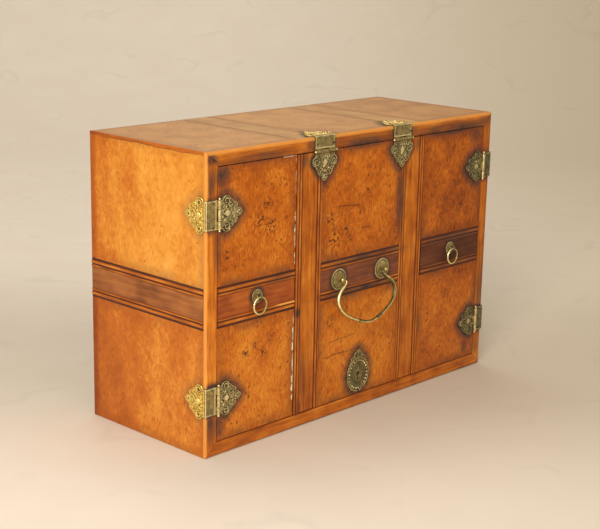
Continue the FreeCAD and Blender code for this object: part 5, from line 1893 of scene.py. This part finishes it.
@dataclass
class Door:
    """A side door: its board, veneers and waist.

    Attributes:
        word: Left or right.
        side: -1 for the left door, 1 for the right.
        number: Number of its first sheet.
        chips: Chipped stretches of the left door's free edge: from and to in height, and how far in, in mm.
        scuff: Share of the polish that is gone at a chip.
        highlight_levels: Lowest and highest level of the painted highlight on the bead under the left door's
            waist.
        corner: The top right corner of its panels.
    """

    word: str
    side: int
    number: int
    chips: tuple[Triple, ...] = ((24.0, 118.0, 4.8), (154.0, 214.0, 2.7))
    scuff: float = 0.85
    highlight_levels: Pair = (123.0, 126.0)
    corner: Vector = field(init=False)

    def __post_init__(self) -> None:
        """Finds the top right corner of the door's panels."""
        self.corner = span(f"{self.word}_door_burr_panels")[1]

    def chipped(self, u: float, v: float) -> float:
        """Gives how near a place lies to the chips at the left door's free edge and top corner.

        Args:
            u: Place along.
            v: Place up.

        Returns:
            From 0 to the share of the polish that is gone at a chip.
        """
        if self.side > 0:
            return 0.0
        edge, _, top = self.corner
        near = [clamp(1 - (top - v) / 1.5) * rise(-116.0, -108.0, u),
                clamp(1 - (edge - u) / 1.4) * rise(212.0, 222.0, v)]
        near += [clamp(1 - (edge - u) / wide) * rise(low, low + 6, v) * rise(high, high - 6, v)
                 for low, high, wide in self.chips]
        return self.scuff * max(near)

    def painted_highlight(self, u: float, v: float) -> float:
        """Gives the painted highlight on a bead of the left door, near its free edge under the waist."""
        low, high = self.highlight_levels
        return 0.8 * rise(-118.0, -108.0, u) if self.side < 0 and low < v < high else 0.0

    def build(self) -> None:
        """Makes the door's veneers and dresses its board."""
        body = f"{self.word}_door"
        # The right door takes darker copies, partly painted shade, and the left door a lighter waist, partly
        # painted light.
        waist, beading = (LEFT_LIT_WAIST, BEADING) if self.side < 0 else (RIGHT_SHADED_WAIST, RIGHT_SHADED_BEADING)
        for word, cut, finish, number, worn in (
                ("burr_panels", UPRIGHT, FRONT_BURR, 0, self.chipped), ("waist_band", BAND, waist, 5, unworn),
                ("beads", BEAD, beading, 7, self.painted_highlight), ("dark_lines", LINE, DARK_LINE, 13, unworn)):
            lay_all(f"{body}_{word}", Face.FRONT, cut, body, finish, self.number + number, worn=worn)
        BOARD_UPRIGHT.dress(f"{body}_board")
        OLD_NAIL.dress(f"{body}_nails")


@dataclass
class CentreFlap:
    """The flap between the doors: its board, panels, stiles, waist and lock.

    Attributes:
        number: Number of its first sheet.
        keyhole: The rectangle left open in its veneer: along from and to, up from and to, in mm.
    """

    number: int = 120
    keyhole: Quad = (-3.2, 3.2, 26.5, 37.5)

    def build(self) -> None:
        """Makes the flap's veneers and dresses its board and lock."""
        for word, cut, finish, number in (
                ("burr_panels", UPRIGHT, FRONT_BURR, 0), ("stiles", UPRIGHT, STRAIGHT, 5),
                ("waist_band", BAND, WAIST, 9), ("beads", BEAD, BEADING, 11),
                ("dark_lines", LINE, DARK_LINE, 31)):
            lay_all(f"flap_{word}", Face.FRONT, cut, "centre_flap", finish, self.number + number,
                    hole=self.keyhole if finish is FRONT_BURR else None)
        BOARD_UPRIGHT.dress("flap_board")
        OLD_NAIL.dress("flap_nails")
        WIRE_BRASS.dress("handle_posts")
        IRON.dress("lock_plate", "lock_cap", "lock_spring", "lock_bolt")


@dataclass
class Studio:
    """The sweep of paper, the lamps and the camera, in metres and degrees.

    Attributes:
        bearing: The camera's turn about Z from the front.
        height: The camera's slope down.
        roll: The camera's tilt.
        paper: The sweep's near end, its back, the radius of its bend, its top, half its width and its level.
        lamps: Each lamp's name, place, width, power and colour.
        backdrop: Place and aim of the lamp for the paper, seen from the camera's bearing.
        backdrop_lamp: Width, power and colour of that lamp.
        room_light: The room's strength on matt surfaces, and to the camera and in reflections.
    """

    eye: Triple = (-0.9610, -0.9113, 0.4635)
    bearing: float = -46.47
    height: float = 14.19
    roll: float = -1.20
    lens: float = 82.1
    sensor: float = 36.0
    paper: tuple[float, float, float, float, float, float] = (-3.2, 2.4, 1.0, 3.2, 4.0, -0.0002)
    lamps: tuple[tuple[str, Triple, float, float, str], ...] = (
        ("key", (-1.7, -1.1, 1.25), 0.9, 41.0, "#FFF8EE"),
        ("front", (-0.5, -1.2, 1.3), 1.0, 4.5, "#FFFAF4"),
        ("overhead", (0.1, 0.5, 2.1), 1.6, 8.5, "#FFFCF8"))
    backdrop: tuple[Triple, ...] = ((-0.5, 1.0, 2.5), (-0.4, 2.4, 0.6))
    backdrop_lamp: tuple[float, float, str] = (1.2, 15.0, "#FFFBF6")
    room: str = "#EFE7DA"
    room_light: Pair = (0.34, 0.8)

    def camera(self) -> None:
        """Sets the camera at the photograph's viewing angle."""
        bearing, height, roll = (math.radians(d) for d in (self.bearing, self.height, self.roll))
        flat = math.cos(height)
        back = Vector((math.sin(bearing) * flat, -math.cos(bearing) * flat, math.sin(height)))
        right = (-back).cross(Vector((0, 0, 1))).normalized()
        down = (-back).cross(right)
        level = right * math.cos(roll) + down * math.sin(roll)
        drop = down * math.cos(roll) - right * math.sin(roll)
        turn = Matrix((level, -drop, back)).transposed().to_4x4()
        made = shown("camera", bpy.data.cameras.new("camera"))
        made.data.lens = self.lens
        made.data.sensor_fit = "HORIZONTAL"
        made.data.sensor_width = self.sensor
        made.matrix_world = Matrix.Translation(self.eye) @ turn
        bpy.context.scene.camera = made

    def sweep(self) -> None:
        """Hangs the paper behind the box and lays it under it."""
        turn = Matrix.Rotation(math.radians(self.bearing), 4, "Z")
        near, back, bend, top, half, under = self.paper
        line = [(near, under), (back - bend, under)]
        line += [(back - bend + bend * math.sin(t), under + bend - bend * math.cos(t))
                 for t in (math.radians(d) for d in range(6, 91, 6))]
        line.append((back, top))
        points = [turn @ Vector((side * half, y, z)) for y, z in line for side in (-1, 1)]
        faces = [(2 * k, 2 * k + 1, 2 * k + 3, 2 * k + 2) for k in range(len(line) - 1)]
        mesh = bpy.data.meshes.new("sweep")
        mesh.from_pydata(points, [], faces)
        mesh.materials.append(PAPER.material())
        mesh.shade_smooth()
        shown("sweep", mesh)

    @staticmethod
    def lamp(name: str, place: Vector, size: float, power: float, colour: str,
             aim: Vector = Vector((0.0, 0.0, 0.13))) -> None:
        """Hangs a soft lamp.

        Args:
            name: The lamp's name.
            place: Where it hangs.
            size: Width of its square face.
            power: Its power in watts.
            colour: Its colour.
            aim: Where it points, the box if not given.
        """
        light = bpy.data.lights.new(name, "AREA")
        light.size = size
        light.energy = power
        light.color = linear(colour)[:3]
        turn = (aim - place).to_track_quat("-Z", "Y").to_matrix().to_4x4()
        shown(name, light).matrix_world = Matrix.Translation(place) @ turn

    def lights(self) -> None:
        """Hangs the lamps and sets the room's own light."""
        for name, place, size, power, colour in self.lamps:
            self.lamp(name, Vector(place), size, power, colour)
        turn = Matrix.Rotation(math.radians(self.bearing), 4, "Z")
        place, aim = (turn @ Vector(spot) for spot in self.backdrop)
        self.lamp("backdrop", place, *self.backdrop_lamp, aim)
        world = bpy.context.scene.world or bpy.data.worlds.new("room")
        bpy.context.scene.world = world
        world.use_nodes = True
        tree = world.node_tree
        tree.nodes.clear()
        seen = add(tree, "LightPath", out="Is Camera Ray")
        ways = seen.node.outputs
        for way in ("Is Glossy Ray", "Is Transmission Ray"):
            seen = add(tree, "Math", (seen, ways[way]), operation="MAXIMUM")
        matt, mirrored = self.room_light
        strength = add(tree, "MapRange", (seen, 0.0, 1.0, matt, mirrored))
        room = add(tree, "Background", {"Color": linear(self.room), "Strength": strength})
        add(tree, "OutputWorld", {"Surface": room})

    def build(self) -> None:
        """Sets the camera, paper and lamps."""
        self.camera()
        self.sweep()
        self.lights()
        bpy.context.scene.view_settings.view_transform = "Standard"


def main() -> None:
    """Builds the box's pieces in order, then the studio."""
    logging.basicConfig(level=logging.INFO, format="%(name)s: %(message)s")
    front = -span("flap_burr_panels")[0].y
    # The hinges' axes, and where they lie along the doors' sides and the flap's top, in mm
    axis_x, axis_y, axis_z = 186.65, -80.5, 259.65
    levels, places = (52.0, 218.5), (-55.0, 55.0)
    # The flap's hinges take their own painted light: brighter golden plates on the top, and duller knuckles,
    # which lie across the light.
    handled = {"polish_and_painted_light": 0.1, "painted_highlight": 0.45, "knuckle_shine": 0.45}
    pairs = [
        HingePair("left", "left_door_hinge_leaves", "left_door", [
            Hinge((-axis_x, axis_y, z), 0, (Face.FRONT, Face.LEFT)) for z in levels]),
        # The right door's hinges lie in shade, which is painted into their brass.
        HingePair("right", "right_door_hinge_leaves", "right_door", [
            Hinge((axis_x, axis_y, z), 180, (Face.FRONT, Face.RIGHT), painted_shade=0.2) for z in levels]),
        HingePair("flap", "flap_hinge_leaves", "centre_flap", [
            Hinge((x, axis_y, axis_z), 90, (Face.FRONT, Face.TOP), **handled) for x in places]),
    ]
    plate, handle = Escutcheon(), BailHandle()
    rings = [RingPull("left", -1), RingPull("right", 1)]
    for fitting in [hinge for pair in pairs for hinge in pair.hinges] + [plate, handle] + rings:
        fitting.stain()
    Case().build()
    Door("left", -1, 80).build()
    Door("right", 1, 100).build()
    CentreFlap().build()
    pins = Shape()
    for pair in pairs:
        pair.build()
        for hinge in pair.hinges:
            hinge.pin(pins)
    pins.piece("hinge_pins_turned", "carcase", BRASS, "hinge_pins")
    plate.build(front)
    handle.build(front)
    for ring in rings:
        ring.build(front)
    Studio().build()


if __name__ == "__main__":
    main()
